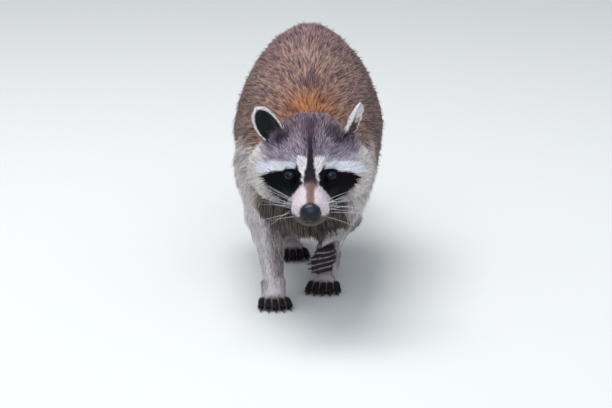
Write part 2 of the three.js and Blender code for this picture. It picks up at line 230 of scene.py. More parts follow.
def joined_solids():
    """All the flesh in one mesh, with the eyes and nose filling their beds."""
    whole = bmesh.new()
    for name in PARTS:
        solid = welded(name, GROW_EAR if name.startswith("ear") else GROW)
        mesh = bpy.data.meshes.new(name + "_grown")
        solid.to_mesh(mesh)
        solid.free()
        whole.from_mesh(mesh)
        bpy.data.meshes.remove(mesh)
    mesh = bpy.data.meshes.new("solids")
    whole.to_mesh(mesh)
    whole.free()
    return mesh


def solids_tree():
    """A search tree over the solids' surfaces and the part that each of its triangles is of."""
    points, triangles, owners = [], [], []
    for number, name in enumerate(PARTS):
        solid = welded(name)
        first = len(points)
        points += [from_frame(vertex.co) for vertex in solid.verts]
        bmesh.ops.triangulate(solid, faces=solid.faces)
        triangles += [[first + vertex.index for vertex in face.verts] for face in solid.faces]
        owners += [number] * (len(triangles) - len(owners))
        solid.free()
    return BVHTree.FromPolygons([Vector(p) for p in points], triangles), np.array(owners)


# --- surface


class Surface:
    """Points in millimetres joined by faces of three or four corners each."""

    def __init__(self, points, faces):
        self.points, self.faces = points, faces
        count, corners = len(points), faces.shape[1]
        pairs = np.vstack([faces[:, [k, (k + 1) % corners]] for k in range(corners)]).astype(np.int64)
        pairs.sort(axis=1)
        keys = np.unique(pairs[:, 0] * count + pairs[:, 1])
        self.edges = np.stack([keys // count, keys % count], axis=1)
        self.degree = np.maximum(np.bincount(self.edges.ravel(), minlength=count), 1)

    def neighbours_mean(self, values):
        a, b = self.edges.T
        count = len(self.points)
        columns = values.reshape(count, -1)
        sums = [
            np.bincount(a, columns[b, k], count) + np.bincount(b, columns[a, k], count)
            for k in range(columns.shape[1])
        ]
        return (np.stack(sums, axis=1) / self.degree[:, None]).reshape(values.shape)

    def spread(self, values, rounds, share=0.5):
        """Evens values out over the surface."""
        for _ in range(rounds):
            values = values + share * (self.neighbours_mean(values) - values)
        return values

    def ease(self, share, rounds=1):
        """Evens the points out by a share that may differ from point to point."""
        self.points = self.spread(self.points, rounds, share)

    def face_normals(self):
        """Each face's normal, twice as long as its area."""
        a, b, c, d = (self.points[self.faces[:, k]] for k in (0, 1, 2, -1))
        return np.cross(c - a, d - b) if self.faces.shape[1] == 4 else np.cross(b - a, c - a)

    def normals(self):
        across, corners = self.face_normals(), self.faces.shape[1]
        sums = [
            np.bincount(self.faces.ravel(), np.repeat(across[:, k], corners), len(self.points))
            for k in range(3)
        ]
        return unit(np.stack(sums, axis=1))

    def areas(self):
        return 0.5 * np.linalg.norm(self.face_normals(), axis=1)


def mesh_from(name, points, faces):
    """A Blender mesh from points in millimetres and faces with equally many corners."""
    mesh = bpy.data.meshes.new(name)
    count, corners = faces.shape
    mesh.vertices.add(len(points))
    mesh.vertices.foreach_set("co", to_frame(points).astype(np.float32).ravel())
    mesh.loops.add(count * corners)
    mesh.loops.foreach_set("vertex_index", faces.astype(np.int32).ravel())
    mesh.polygons.add(count)
    mesh.polygons.foreach_set("loop_start", np.arange(count, dtype=np.int32) * corners)
    mesh.update(calc_edges=True)
    mesh.polygons.foreach_set("use_smooth", np.ones(count, bool))
    return mesh


def faces_of(mesh, corners):
    flat = np.empty(len(mesh.loops), np.int32)
    mesh.loops.foreach_get("vertex_index", flat)
    return flat.reshape(-1, corners)


def added(name, data):
    """A new object in the scene."""
    made = bpy.data.objects.new(name, data)
    bpy.context.scene.collection.objects.link(made)
    return made


def with_modifier(mesh, kind, loose=None, **settings):
    """A new mesh in this one's stead, changed by a modifier where its points are loose."""
    draft = added("draft", mesh)
    modifier = draft.modifiers.new("change", kind)
    if loose is not None:
        draft.vertex_groups.new(name="loose").add(np.where(loose)[0].tolist(), 1.0, "REPLACE")
        modifier.vertex_group = "loose"
    for name, value in settings.items():
        setattr(modifier, name, value)
    made = bpy.data.meshes.new_from_object(draft.evaluated_get(bpy.context.evaluated_depsgraph_get()))
    bpy.data.objects.remove(draft)
    bpy.data.meshes.remove(mesh)
    return made


def piece(mesh, material, replaced=()):
    """Puts a mesh into the scene as a piece of the animal, under the mesh's name."""
    made = added(mesh.name, mesh)
    mesh.materials.append(material)
    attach(made, "root")
    if replaced:
        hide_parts(*replaced)


def colour_mesh(mesh, colours):
    """Stores a colour for each vertex, given as display values from 0 to 1."""
    layer = mesh.color_attributes.new(name="coat", type="FLOAT_COLOR", domain="POINT")
    clipped = np.clip(colours, 0, 1)
    linear = np.where(clipped <= 0.04045, clipped / 12.92, ((clipped + 0.055) / 1.055) ** 2.4)
    opaque = np.hstack([linear, np.ones((len(linear), 1))])
    layer.data.foreach_set("color", opaque.astype(np.float32).ravel())


# --- skin


def outer_part(points, faces):
    """The connected surface that holds the highest point, without pockets left inside."""
    surface = Surface(points, faces)
    reached = np.zeros(len(points), bool)
    reached[np.argmax(points[:, 2])] = True
    a, b = surface.edges.T
    known = 0
    while reached.sum() > known:
        known = reached.sum()
        for _ in range(20):
            touched = reached[a] | reached[b]
            reached[a[touched]] = True
            reached[b[touched]] = True
    places = np.cumsum(reached) - 1
    return points[reached], places[faces[reached[faces[:, 0]]]]


def parts_of(points, tree, owners):
    """The part whose solid lies nearest to each point."""
    return np.array([owners[tree.find_nearest(Vector(p))[2]] for p in points])


def head_places(points):
    """Side, forward and up of each point, from midway between the pupils."""
    local = points - EYE_MIDDLE
    return local[:, 0], local @ FORWARD, local @ ABOVE


def nearest_in(points, cloud):
    """The number of the nearest point of cloud to each point."""
    tree = KDTree(len(cloud))
    for k, place in enumerate(cloud):
        tree.insert(place, k)
    tree.balance()
    return np.array([tree.find(p)[1] for p in points], int)


TAIL_LINE = catmull_rom(TAIL, 90)


def tail_places(points):
    """The share of the tail's length and the direction of its middle line at the nearest place."""
    nearest, last = nearest_in(points, TAIL_LINE), len(TAIL_LINE) - 1
    before, after = np.maximum(nearest - 1, 0), np.minimum(nearest + 1, last)
    return nearest / last, unit(TAIL_LINE[after] - TAIL_LINE[before])


def from_eyes(points):
    """Distance to the nearer eye's centre."""
    return np.minimum(*[np.linalg.norm(points - eye_centre(side), axis=1) for side in (-1, 1)])


def smoothing_rounds(points, part):
    """How often each point is evened out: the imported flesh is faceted, the paws and face are fine."""
    _, forward, _ = head_places(points)
    rounds = np.full(len(points), 70.0)
    rounds[is_part(part, "trunk", "neck") & (points[:, 1] < 90) & (points[:, 2] < 190)] = 125
    rounds[is_part(part, "tail")] = 36
    rounds[is_part(part, "lower_foreleg", "shin")] = 22
    head = is_part(part, *HEAD)
    rounds[head] = np.interp(forward[head], [-40, -10, 10], [34, 12, 5])
    rounds[is_part(part, *PAWS)] = 4
    rounds[is_part(part, "ear")] = 10
    return rounds


def coat_depth(points, part):
    """How far the skin lies inside the coat's outer surface."""
    side, forward, up = head_places(points)
    side = np.abs(side)
    depth = np.full(len(points), 11.0)
    depth[is_part(part, "upper_foreleg")] = 9
    depth[is_part(part, "thigh")] = 9.5
    for name, joints in LEGS.items():
        _, shin, paw = LEG_NODES[name]
        chosen = is_part(part, shin)
        depth[chosen] = np.interp(along(points[chosen], *joints[1:3]), [0, 0.5, 1], [7, 4, 2])
        chosen = is_part(part, paw)
        depth[chosen] = np.interp(along(points[chosen], *joints[2:]), [0, 0.3, 0.6], [2, 1.6, 1])
        if paw != LIFTED_PAW:
            depth[chosen] *= ramp(points[chosen, 2], 0, 7)
    tail = is_part(part, "tail")
    share = tail_places(points[tail])[0]
    depth[tail] = 0.45 * np.interp(share, *TAIL_RADII)
    head = is_part(part, *HEAD)
    face = np.interp(forward, [-50, -20, 0, 10, 30, 45], [9, 5, 2.6, 2.2, 1.5, 1.1])
    cheek = 6 * ramp(side, 32, 50) * ramp(-forward, 5, 30)
    throat = 6 * ramp(-up, 20, 40) * ramp(-forward, -25, 5)
    depth[head] = (face + np.maximum(cheek, throat))[head]
    rim = from_eyes(points) - EYE_RADIUS
    depth[head] = np.minimum(depth[head], 0.6 + 0.17 * np.maximum(rim[head] - 1, 0))
    depth[is_part(part, "ear")] = 0.9
    return depth


ROUNDS_BLEND, DEPTH_BLEND = 12, 24  # rounds that blend the smoothing and the depth between parts
INSET_STEPS, INSET_EASING = 8, 3  # steps down to the skin, and rounds of evening out after each
SOLE_HEIGHT = 2.0  # lower than this the paws keep to the floor
LOWEST = 0.15  # no point of the animal is nearer to the floor


def above_floor(points):
    points[..., 2] = np.maximum(points[..., 2], LOWEST)


def skin_surface():
    """The skin: the solids' outer surface, evened out and sunk by the depth of the coat."""
    mesh = with_modifier(joined_solids(), "REMESH", mode="VOXEL", voxel_size=VOXEL * MM)
    points, faces = outer_part(vertices_of(mesh), faces_of(mesh, 4))
    bpy.data.meshes.remove(mesh)
    tree, owners = solids_tree()
    part = parts_of(points, tree, owners)
    surface = Surface(points, faces)
    rounds = surface.spread(smoothing_rounds(points, part), ROUNDS_BLEND)
    for k in range(int(rounds.max())):
        surface.ease(0.5 * np.clip(rounds - k, 0, 1)[:, None])
    depth = surface.spread(coat_depth(surface.points, part), DEPTH_BLEND)
    depth[is_part(part, *PAWS) & (points[:, 2] < SOLE_HEIGHT)] = 0
    easing = 0.5 * ramp(depth, 1.5, 8)[:, None]
    for _ in range(INSET_STEPS):
        surface.points = surface.points - surface.normals() * (depth / INSET_STEPS)[:, None]
        surface.ease(easing, INSET_EASING)
    above_floor(surface.points)
    return surface, part, depth


# The skin is finer on the face, forward of this and this far to each side, near a digit's middle line, and
# nearest to an eye's centre.
FACE_FROM, FACE_HALF, DIGIT_FINE, EYE_FINE = -9, 36, 7.5, 14


def near_face(points):
    side, forward, _ = head_places(points)
    return (forward > FACE_FROM) & (np.abs(side) < FACE_HALF)


def eye_centre(side):
    return on_head(side * EYE_HALF_APART, 0, 0)


def near_eyes(points):
    return from_eyes(points) < EYE_FINE


def standing_digits(joints, foot):
    """The digits' middle lines on a foot that stands, fanned out ahead of its ball."""
    ankle, toes = (np.array(joint, float) for joint in joints[2:])
    heading = unit((toes - ankle) * [1, 1, 0])
    across = np.array([-heading[1], heading[0], 0])
    ball = toes - heading * foot["reach"]
    lines = []
    for share in np.linspace(-0.5, 0.5, 5):
        short = 5.5 * (2 * share) ** 2
        stops = [
            (2, foot["palm"], 8.5),
            (foot["reach"] * 0.5, (foot["palm"] + foot["width"]) / 2, 8),
            (foot["reach"] - 8, foot["width"], foot["thick"] * 0.5 + 0.8),
        ]
        lines.append(bent([
            (ball + heading * (ahead - short) + across * share * spread) * [1, 1, 0] + [0, 0, height]
            for ahead, spread, height in stops
        ]))
    return lines


def lifted_digits(joints):
    """The digits' middle lines on the lifted hand, one above another and hanging inwards."""
    ball = np.array(joints[2], float) + [-3, -13, -13]
    lines = []
    for drop, reach in zip(LIFTED_DROPS, LIFTED_REACHES):
        knuckle = ball + [5, -4, drop]
        tip = knuckle + [-reach, -1, -0.27 * reach]
        lines.append(bent([knuckle + [4, 1, 1], knuckle + [-0.42 * reach, -10, 0], tip]))
    return lines


def bent(stops, steps=16):
    """A curve that leaves the first point for the second and arrives at the third."""
    a, b, c = (np.array(stop, float) for stop in stops)
    t = np.linspace(0, 1, steps)[:, None]
    return (1 - t) ** 2 * a + 2 * t * (1 - t) * b + t * t * c


DIGITS = {
    "forepaw_right": standing_digits(LEGS["foreleg_right"], FORE_FOOT),
    "forepaw_left": lifted_digits(LEGS["foreleg_left"]),
    "hindpaw_left": standing_digits(LEGS["hindleg_left"], HIND_FOOT),
    "hindpaw_right": standing_digits(LEGS["hindleg_right"], HIND_FOOT),
}
DIGIT_THICK = {"forepaw_right": 3.5, "forepaw_left": 3.05, "hindpaw_left": 3.8, "hindpaw_right": 3.8}


def digit_places(points, paw):
    """Distance to the nearest digit's middle line, the gap to the next one, the place there and the share."""
    lines = np.array(DIGITS[paw])
    gaps = np.linalg.norm(points[:, None, None] - lines[None], axis=3)
    stop = gaps.argmin(axis=2)
    nearest = np.take_along_axis(gaps, stop[..., None], axis=2)[..., 0]
    order = nearest.argsort(axis=1)
    first, second = order[:, 0], order[:, 1]
    rows = np.arange(len(points))
    place = lines[first, stop[rows, first]]
    share = stop[rows, first] / (lines.shape[1] - 1)
    return nearest[rows, first], nearest[rows, second] - nearest[rows, first], place, share


def near_digits(points):
    near = np.zeros(len(points), bool)
    for paw, lines in DIGITS.items():
        lines = np.array(lines)
        low, high = lines.min(axis=(0, 1)) - 6, lines.max(axis=(0, 1)) + 6
        boxed = np.where(((points > low) & (points < high)).all(axis=1))[0]
        gap, _, _, share = digit_places(points[boxed], paw)
        near[boxed] |= (gap < DIGIT_FINE) & (share > 0.1)
    return near


def shape_digits(surface, part):
    """Draws the paws' ends in round the middle lines of their digits, so that furrows part them."""
    for paw, thick in DIGIT_THICK.items():
        chosen = np.where(is_part(part, paw))[0]
        gap, _, place, share = digit_places(surface.points[chosen], paw)
        girth = thick * np.interp(share, [0, 0.5, 1], [1.25, 1.05, 0.9])
        hold = ramp(share, 0.08, 0.4) * ramp(11 - gap, 0, 3)
        drawn = place + unit(surface.points[chosen] - place) * girth[:, None]
        surface.points[chosen] = mixed(surface.points[chosen], drawn, hold[:, None])
    above_floor(surface.points)


def refined(surface, part, depth):
    """The skin in triangles, with finer ones on the muzzle and finest round the eyes."""
    mesh = mesh_from("draft", surface.points, surface.faces)
    work = bmesh.new()
    work.from_mesh(mesh)
    for chosen in (near_face, near_digits, near_eyes):
        points = from_frame([vertex.co for vertex in work.verts])
        inside = chosen(points)
        work.verts.ensure_lookup_table()
        edges = [e for e in work.edges if inside[e.verts[0].index] and inside[e.verts[1].index]]
        bmesh.ops.subdivide_edges(work, edges=edges, cuts=1, use_grid_fill=True)
        work.verts.index_update()
    bmesh.ops.triangulate(work, faces=work.faces)
    work.to_mesh(mesh)
    work.free()
    fine = Surface(vertices_of(mesh), faces_of(mesh, 3))
    bpy.data.meshes.remove(mesh)
    old = len(surface.points)
    nearest = nearest_in(fine.points[old:], surface.points)
    part = np.concatenate([part, part[nearest]])
    depth = np.concatenate([depth, depth[nearest]])
    easing = 0.5 * (near_face(fine.points) | near_digits(fine.points))[:, None]
    fine.ease(easing, 4)
    return fine, part, fine.spread(depth, 4)


# --- lids and mouth

GAZE_OUTWARD = 0.30
GAZE_UP = 0.12
LID_TILT = math.radians(11)  # the outer corner is higher
OPENING = (math.radians(51), math.radians(37), math.radians(31))  # to a corner, up and down
LID_RISE = 0.4  # a lid's edge stands this far off the eyeball
LID_THICK = 0.9
LID_EASING = 8  # rounds
LID_REACH = 16  # the skin within this of an eye's centre is drawn to its lids
UNDER_EYEBALL = 1.8  # how far the skin behind the opening is sunk


def eye_axes(side):
    """The eye's gaze, its outward direction and its upward one."""
    gaze = unit(np.array([side * GAZE_OUTWARD, -1.0, GAZE_UP]))
    outward = unit(np.cross(gaze, [0, 0, 1]) * -side)
    outward = outward if outward[0] * side > 0 else -outward
    upward = np.cross(gaze, outward)
    upward = upward if upward[2] > 0 else -upward
    turned = math.cos(LID_TILT) * outward + math.sin(LID_TILT) * upward
    upward = math.cos(LID_TILT) * upward - math.sin(LID_TILT) * outward
    return gaze, turned, upward


def opening_height(across):
    """The lids' upper and lower edges at an angle across the eye."""
    corner, top, bottom = OPENING
    arch = np.sqrt(np.clip(1 - (across / corner) ** 2, 0, 1))
    return top * arch**1.15, bottom * arch**1.5


def fit_lids(surface):
    """Opens the skin over each eyeball and lays its lids on it."""
    points = surface.points
    easing = np.zeros((len(points), 1))
    for side in (-1, 1):
        gaze, outward, upward = eye_axes(side)
        offset = points - eye_centre(side)
        reach = np.linalg.norm(offset, axis=1)
        near = np.where(reach < LID_REACH)[0]
        away = unit(offset[near])
        ahead = away @ gaze
        across = np.arctan2(away @ outward, ahead)
        rise = np.arctan2(away @ upward, np.hypot(away @ outward, ahead))
        top, bottom = opening_height(across)
        gap = np.where(rise > 0, rise - top, -bottom - rise) * EYE_RADIUS
        beyond = (np.abs(across) - OPENING[0]) * EYE_RADIUS
        gap = np.where(beyond > 0, np.hypot(beyond, rise * EYE_RADIUS), gap)
        gap = np.where(ahead > 0, gap, 9)
        lid = EYE_RADIUS + LID_RISE + LID_THICK * ramp(gap, 0, 3.5)
        fresh = np.where(gap > 0, np.maximum(reach[near], lid), EYE_RADIUS - UNDER_EYEBALL)
        fade = ramp(LID_REACH - reach[near], 0, 3)
        fresh = np.where(gap > 0, mixed(reach[near], fresh, fade), fresh)
        points[near] = eye_centre(side) + away * fresh[:, None]
        easing[near, 0] = 0.5 * ramp(gap, 0.8, 2.5) * fade
    surface.ease(easing, LID_EASING)


NOSE_AXES = np.stack([[1, 0, 0], FORWARD, ABOVE])
BEHIND_NOSE = 0.62  # the share of the nose pad's size that the skin is drawn in to


def sink_under_nose(surface):
    """Draws the skin in behind the nose pad, clear of its nostrils."""
    centre = on_head(*NOSE_CENTRE)
    local = (surface.points - centre) @ NOSE_AXES.T / NOSE_SIZE
    reach = np.linalg.norm(local, axis=1)
    hold = ramp(1.12 - reach, 0, 0.12) * ramp(local[:, 1], -0.5, -0.1)
    shrink = (BEHIND_NOSE / np.maximum(reach, 1e-6) - 1) * (reach > BEHIND_NOSE)
    local = local * (1 + hold * shrink)[:, None]
    moved = hold > 0
    surface.points[moved] = centre + (local[moved] * NOSE_SIZE) @ NOSE_AXES


# The line of the lips on the left: side, forward and up from midway between the pupils.
MOUTH = [
    (0, 54, -27.5), (5, 52, -28.5), (10, 47, -30), (14, 38, -31), (17, 27, -30), (21, 14, -30), (25, 6, -27),
]
MOUTH_DEPTH, MOUTH_WIDTH = 1.1, 1.6


def mouth_gap(points):
    """Distance from the line of the lips, alike on both sides."""
    side, forward, up = head_places(points)
    places = np.stack([np.abs(side), forward, up], axis=1)
    line = catmull_rom(np.array(MOUTH, float), 60)
    gaps = np.full(len(points), 99.0)
    near = (forward > 0) & (up < -15) & (np.abs(side) < 34)
    gaps[near] = np.sqrt(((places[near][:, None] - line) ** 2).sum(axis=2)).min(axis=1)
    return gaps


def press_mouth(surface):
    """A fold between the lips."""
    fold = MOUTH_DEPTH * np.exp(-((mouth_gap(surface.points) / MOUTH_WIDTH) ** 2))
    surface.points = surface.points - surface.normals() * fold[:, None]


# --- markings

RGB = {
    "back": (145, 118, 111),
    "rump": (126, 101, 108),
    "orange": (160, 103, 66),
    "spot": (80, 58, 73),
    # the sides' brown, partly the coat's own and partly painted shade where the sides turn from the light
    "flank_with_painted_shade": (112, 90, 83),
    "belly": (196, 186, 176),
    "chest": (88, 80, 76),
    "shoulder": (222, 218, 212),
    "forehead": (142, 128, 141),
    "frost": (214, 207, 218),
    "crown": (104, 85, 97),
    "stripe": (44, 34, 46),
    "bridge": (124, 88, 81),
    "cream": (247, 240, 241),
    "brow": (242, 242, 251),
    "mask": (3, 3, 7),
    "muzzle": (226, 213, 219),
    "cheek": (188, 179, 176),
    "ruff": (226, 219, 212),
    # under the muzzle: the throat's grey-brown darkened and the chin, pale in life, painted dark grey, both
    # as painted shade
    "throat": (74, 68, 68),
    "chin_painted_shade": (104, 95, 86),
    "ear_dark": (34, 38, 40),
    "ear_brown": (110, 89, 73),
    "ear_rim": (246, 240, 242),
    "ear_back": (128, 112, 108),
    "leg_outer": (230, 224, 221),
    "leg_inner": (172, 161, 156),
    "shin": (122, 106, 102),
    "paw": (50, 43, 48),
    "paw_top": (236, 226, 230),
    "gap": (190, 178, 178),
    "pad": (36, 31, 33),
    "tail_pale": (176, 156, 136),
    "tail_dark": (44, 37, 40),
    "lip": (22, 18, 21),
    "pupil": (3, 3, 6),
    # the iris is tinted blue, and lighter blue on its upper part, as a painted reflection of the sky
    "iris": (17, 20, 29),
    "eye_painted_sky_reflection": (27, 48, 78),
    "eye_rim": (8, 8, 11),
    "nose_low": (3, 3, 6),
    # the nose pad's colour towards its top, lighter and bluer as a painted highlight
    "nose_painted_highlight": (27, 29, 46),
    "claw": (46, 38, 36),
}
RGB = {name: np.array(value) / 255 for name, value in RGB.items()}

# Outlines on the face in millimetres: out from the middle line, and up from the pupils.
WEDGE = [(3.0, 20), (9, 21.5), (15, 21), (16, 17), (13, 6), (9.8, -6), (8.2, -8.5), (6.4, 2), (4.0, 12)]
BROW = [(16, 14.5), (28, 16.5), (42, 17.5), (57, 14), (61, 7), (52, 3.5), (44, 5.5), (30, 7), (18, 6.5)]
MASK = [
    (7.6, -7), (10.5, 2), (14.6, 14), (17.5, 5.5), (26, 6), (36, 4.5), (46, 3.5), (55, -1),
    (50.5, -9), (41, -18), (33, -25), (26, -27.5), (20, -22), (13, -15),
]
# Half the width at each height of the stripe on the forehead and of the one down the bridge.
STRIPE = ([-9, 2, 12.6, 24, 38], [8.0, 6.6, 3.9, 2.6, 2.2])
BRIDGE = ([-34, -28, -18, -8], [4.6, 3.6, 3.8, 7])
MUZZLE = [
    (0, -9), (9, -11), (13, -14), (20, -21), (27, -26.5),
    (31, -31), (26, -37), (19, -41), (13, -44.5), (0, -45),
]
EYE_PATCH = (12.5, 7.6)  # the dark skin round an eye: half its width and half its height


def inside_outline(x, y, outline):
    """How far each place lies inside the outline, or below 0 outside it."""
    outline = np.array(outline, float)
    gap = np.full(len(x), 1e9)
    within = np.zeros(len(x), bool)
    for (ax, ay), (bx, by) in zip(outline, np.roll(outline, -1, axis=0)):
        dx, dy = bx - ax, by - ay
        t = np.clip(((x - ax) * dx + (y - ay) * dy) / (dx * dx + dy * dy), 0, 1)
        gap = np.minimum(gap, np.hypot(x - ax - t * dx, y - ay - t * dy))
        if dy:
            within ^= ((ay > y) != (by > y)) & (x < ax + (y - ay) * dx / dy)
    return np.where(within, gap, -gap)


def layered(count, base, *layers):
    """The base colour for so many points, with others laid over it by amounts from 0 to 1."""
    colours = np.tile(RGB[base], (count, 1))
    for name, amount in layers:
        colours = mixed(colours, RGB[name], np.clip(amount, 0, 1)[:, None])
    return colours


def paint_body(points, normals):
    """Grizzled brown, warm on the nape, darker on the sides partly as painted shade, pale on the shoulders
    and low on the flanks, dark on the chest.
    """
    x, y, z = points.T
    side = np.abs(x)
    reach = side + 14 * (x > 0)  # the pale shoulder comes further round on the left
    saddle = 0.9 * np.exp(-((x / 27) ** 2) - ((y - 88) / 34) ** 2)
    saddle = saddle + 0.3 * np.exp(-((x / 60) ** 2) - ((y - 112) / 56) ** 2)
    spot = np.exp(-((np.hypot(x + 1, (y - 150) / 1.3) / 13) ** 2))
    front = ramp(210 - y, 0, 90) * ramp(reach, 50, 64) * ramp(197 - z, 0, 20)
    return layered(
        len(points), "back",
        ("rump", ramp(y, 240, 380)),
        # darker on the sides: partly the coat's own brown, partly painted shade
        ("flank_with_painted_shade", ramp(side, 46, 76)),
        ("orange", saddle * ramp(normals[:, 2], 0.1, 0.6)),
        ("spot", 0.85 * spot * ramp(normals[:, 2], 0.2, 0.6)),
        ("belly", 0.7 * ramp(168 - z, 0, 44) * ramp(side, 26, 52)),
        ("chest", ramp(172 - z, 0, 36) * ramp(64 - reach, 0, 16)),
        ("shoulder", 0.9 * front),
    )


def paint_foreleg(points, joints, outward):
    """Pale on the outside, further round on the lifted leg, and dark on the inside."""
    x, _, z = np.array(joints[2::-1], float).T
    turned = 8 if outward > 0 else 0
    past = (points[:, 0] - np.interp(points[:, 2], z, x)) * outward + turned
    return layered(len(points), "leg_inner", ("leg_outer", ramp(past, -9, 6)))


def paint_hindleg(points, joints):
    """The brown of the sides, which carries painted shade, darker towards the ankle."""
    return layered(len(points), "flank_with_painted_shade", ("shin", ramp(joints[1][2] + 30 - points[:, 2], 0, 60)))


def paint_paw(points, normals, joints, paw):
    """Pale fur on top, dark digits with paler fur between them, and dark pads."""
    gap, apart, _, share = digit_places(points, paw)
    ankle = ramp(0.3 - along(points, *joints[2:]), 0, 0.3)
    start = 0 if paw == LIFTED_PAW else 0.25
    digit = ramp(9 - gap, 0, 2) * ramp(share, start - 0.1, start + 0.15)
    return layered(
        len(points), "paw_top",
        ("shin" if paw.startswith("hind") else "leg_inner", 0.4 * ankle),
        ("paw", digit),
        ("gap", digit * ramp(1.5 - apart, 0, 1) * 0.8),
        ("pad", ramp(-normals[:, 2], 0.35, 0.7) * (paw != LIFTED_PAW)),
    )


TAIL_RINGS = 6.5
TAIL_TIP_SHARE = 0.9


def paint_tail(points):
    """Dark rings and a dark tip."""
    share = tail_places(points)[0] + 0.012 * noise(points, 9, 3)
    wave = np.cos(share * TAIL_RINGS * 2 * math.pi)
    ring = ramp(-wave, -0.25, 0.35) * ramp(share, 0.04, 0.12)
    return layered(
        len(points), "tail_pale",
        ("back", 0.8 * ramp(0.1 - share, -0.04, 0.06)),
        ("tail_dark", np.maximum(ring, ramp(share, TAIL_TIP_SHARE, TAIL_TIP_SHARE + 0.03))),
    )


def paint_head(points, normals):
    """The face's mask, brows, stripe and muzzle over a grizzled grey head, with painted shade on the throat
    and chin under the muzzle.
    """
    side, forward, _ = head_places(points)
    ragged = 0.9 * np.stack([noise(points, 3.5, seed) for seed in (11, 12)], axis=1)
    out = np.abs(side) + ragged[:, 0]
    high = (points[:, 2] - EYE_MIDDLE[2]) * math.cos(FACE_TILT) + points[:, 1] * math.sin(FACE_TILT)
    high = high + ragged[:, 1]
    ears = [
        np.linalg.norm(points - on_head(x * 0.9, y + 3, z + 6), axis=1)
        for x, y, z in (ear["root"] for ear in EARS.values())
    ]
    below_brow = ramp(15 - high, 0, 5)
    stripe = ramp(high, -16, -4) * ramp(54 - high, 0, 20) * ramp(np.interp(high, *STRIPE) - out, -1.0, 1.2)
    bridge = ramp(-high, 2, 14) * ramp(forward, 0, 8) * ramp(high, -36, -32)
    bridge = bridge * ramp(np.interp(high, *BRIDGE) - out, -2.6, 1.8)
    patch = np.hypot((out - EYE_HALF_APART) / EYE_PATCH[0], high / EYE_PATCH[1])
    colours = layered(
        len(points), "forehead",
        ("crown", ramp(high, 34, 60)),
        ("frost", 0.75 * ramp(high, 8, 16) * ramp(36 - high, 0, 20) * ramp(out, 8, 20)),
        *(("stripe", 0.75 * ramp(17 - near, 0, 9)) for near in ears),
        ("ruff", ramp(out, 46, 56) * ramp(50 - high, 0, 24)),
        ("cheek", below_brow),
        ("ruff", ramp(out, 44, 54) * below_brow),
        # painted shade under the muzzle on the throat and chin
        ("throat", ramp(-high, 26, 36) * ramp(56 - out, 0, 12)),
        ("chin_painted_shade", ramp(-high, 36, 42) * ramp(26 - out, 0, 14)),
        ("brow", ramp(inside_outline(out, high, BROW), -1.6, 0.8)),
        ("muzzle", ramp(inside_outline(out, high, MUZZLE), -3, 1.2) * ramp(forward, -6, 4)),
        ("mask", ramp(inside_outline(out, high, MASK), -1.0, 0.8)),
        ("cream", ramp(inside_outline(out, high, WEDGE), -1.1, 0.6)),
        ("stripe", 0.7 * ramp(high, 22, 40) * ramp(66 - high, 0, 12) * ramp(9 - out, 0, 7)),
        ("stripe", stripe),
        ("bridge", 0.85 * bridge),
        ("lip", 0.85 * np.exp(-(mouth_gap(points) ** 2))),
        ("mask", ramp(1.08 - patch, 0, 0.16) * ramp(forward, -16, -8)),
    )
    return mixed(colours, paint_body(points, normals), ramp(points[:, 1], 40, 64)[:, None])


def ear_turn(ear):
    """The matrix that an ear stands by: it leans sideways, tips back and turns about its own length."""
    lean, tip, turn = (
        Matrix.Rotation(ear[key], 3, axis) for key, axis in (("lean", "Y"), ("tip", "X"), ("turn", "Z"))
    )
    return np.array(lean @ tip @ turn)


def ear_places(points, ear):
    """Places in an ear's own axes, across it (-1 to 1) and up it (0 to 1), and half its width there."""
    local = (points - on_head(*ear["root"])) @ ear_turn(ear)
    up = np.clip(local[:, 2] / EAR_LENGTH, 0, 0.999)
    past_belly = np.maximum(up - EAR_BELLY, 0) / (1.001 - EAR_BELLY)
    flare = np.where(up < EAR_BELLY, 0.8 + 0.2 * np.sin(up / EAR_BELLY * math.pi / 2), 1)
    width = EAR_HALF * flare * np.sqrt(1 - past_belly**2) + 0.6
    curl = mixed(1.45, 0.7, up)
    across = np.arctan2(local[:, 0], local[:, 1] + width / curl) / curl
    return local, across, up, width


def paint_ear(points, normals, ear):
    """A white rim, a dark hollow and a grey back with a dark base."""
    local, across, up, width = ear_places(points, ear)
    towards_middle = np.array([0, -EAR_HALF / 1.1]) - local[:, :2]
    front = np.sum((normals @ ear_turn(ear))[:, :2] * towards_middle, axis=1) > 0
    rounded = np.hypot(across * width / EAR_HALF, np.maximum(up - EAR_BELLY, 0) / (1 - EAR_BELLY))
    past_rim = np.where(up > EAR_BELLY, (1 - rounded) * (EAR_HALF + 3), (1 - np.abs(across)) * width)
    lining = front * ramp(-across * np.sign(ear["root"][0]), 0.15, 0.6) * ramp(0.8 - up, 0, 0.3)
    edge = ramp(np.where(front, 2.9, 8) - past_rim, 0, 1.4)
    whitened = up + 0.09 * noise(points, 4, 17) - ear["white"]
    return layered(
        len(points), "ear_back",
        ("mask", ramp(0.34 - up, 0, 0.2)),
        (ear["hollow"], front * ramp(past_rim, 1, 4)),
        ("ear_brown", 0.6 * lining * ramp(noise(points, 3, 18), -0.4, 0.4)),
        ("ear_rim", edge * ramp(up - ear["rim"], 0, 0.16)),
        ("ear_rim", ramp(whitened, -0.06, 0.06)),
    )


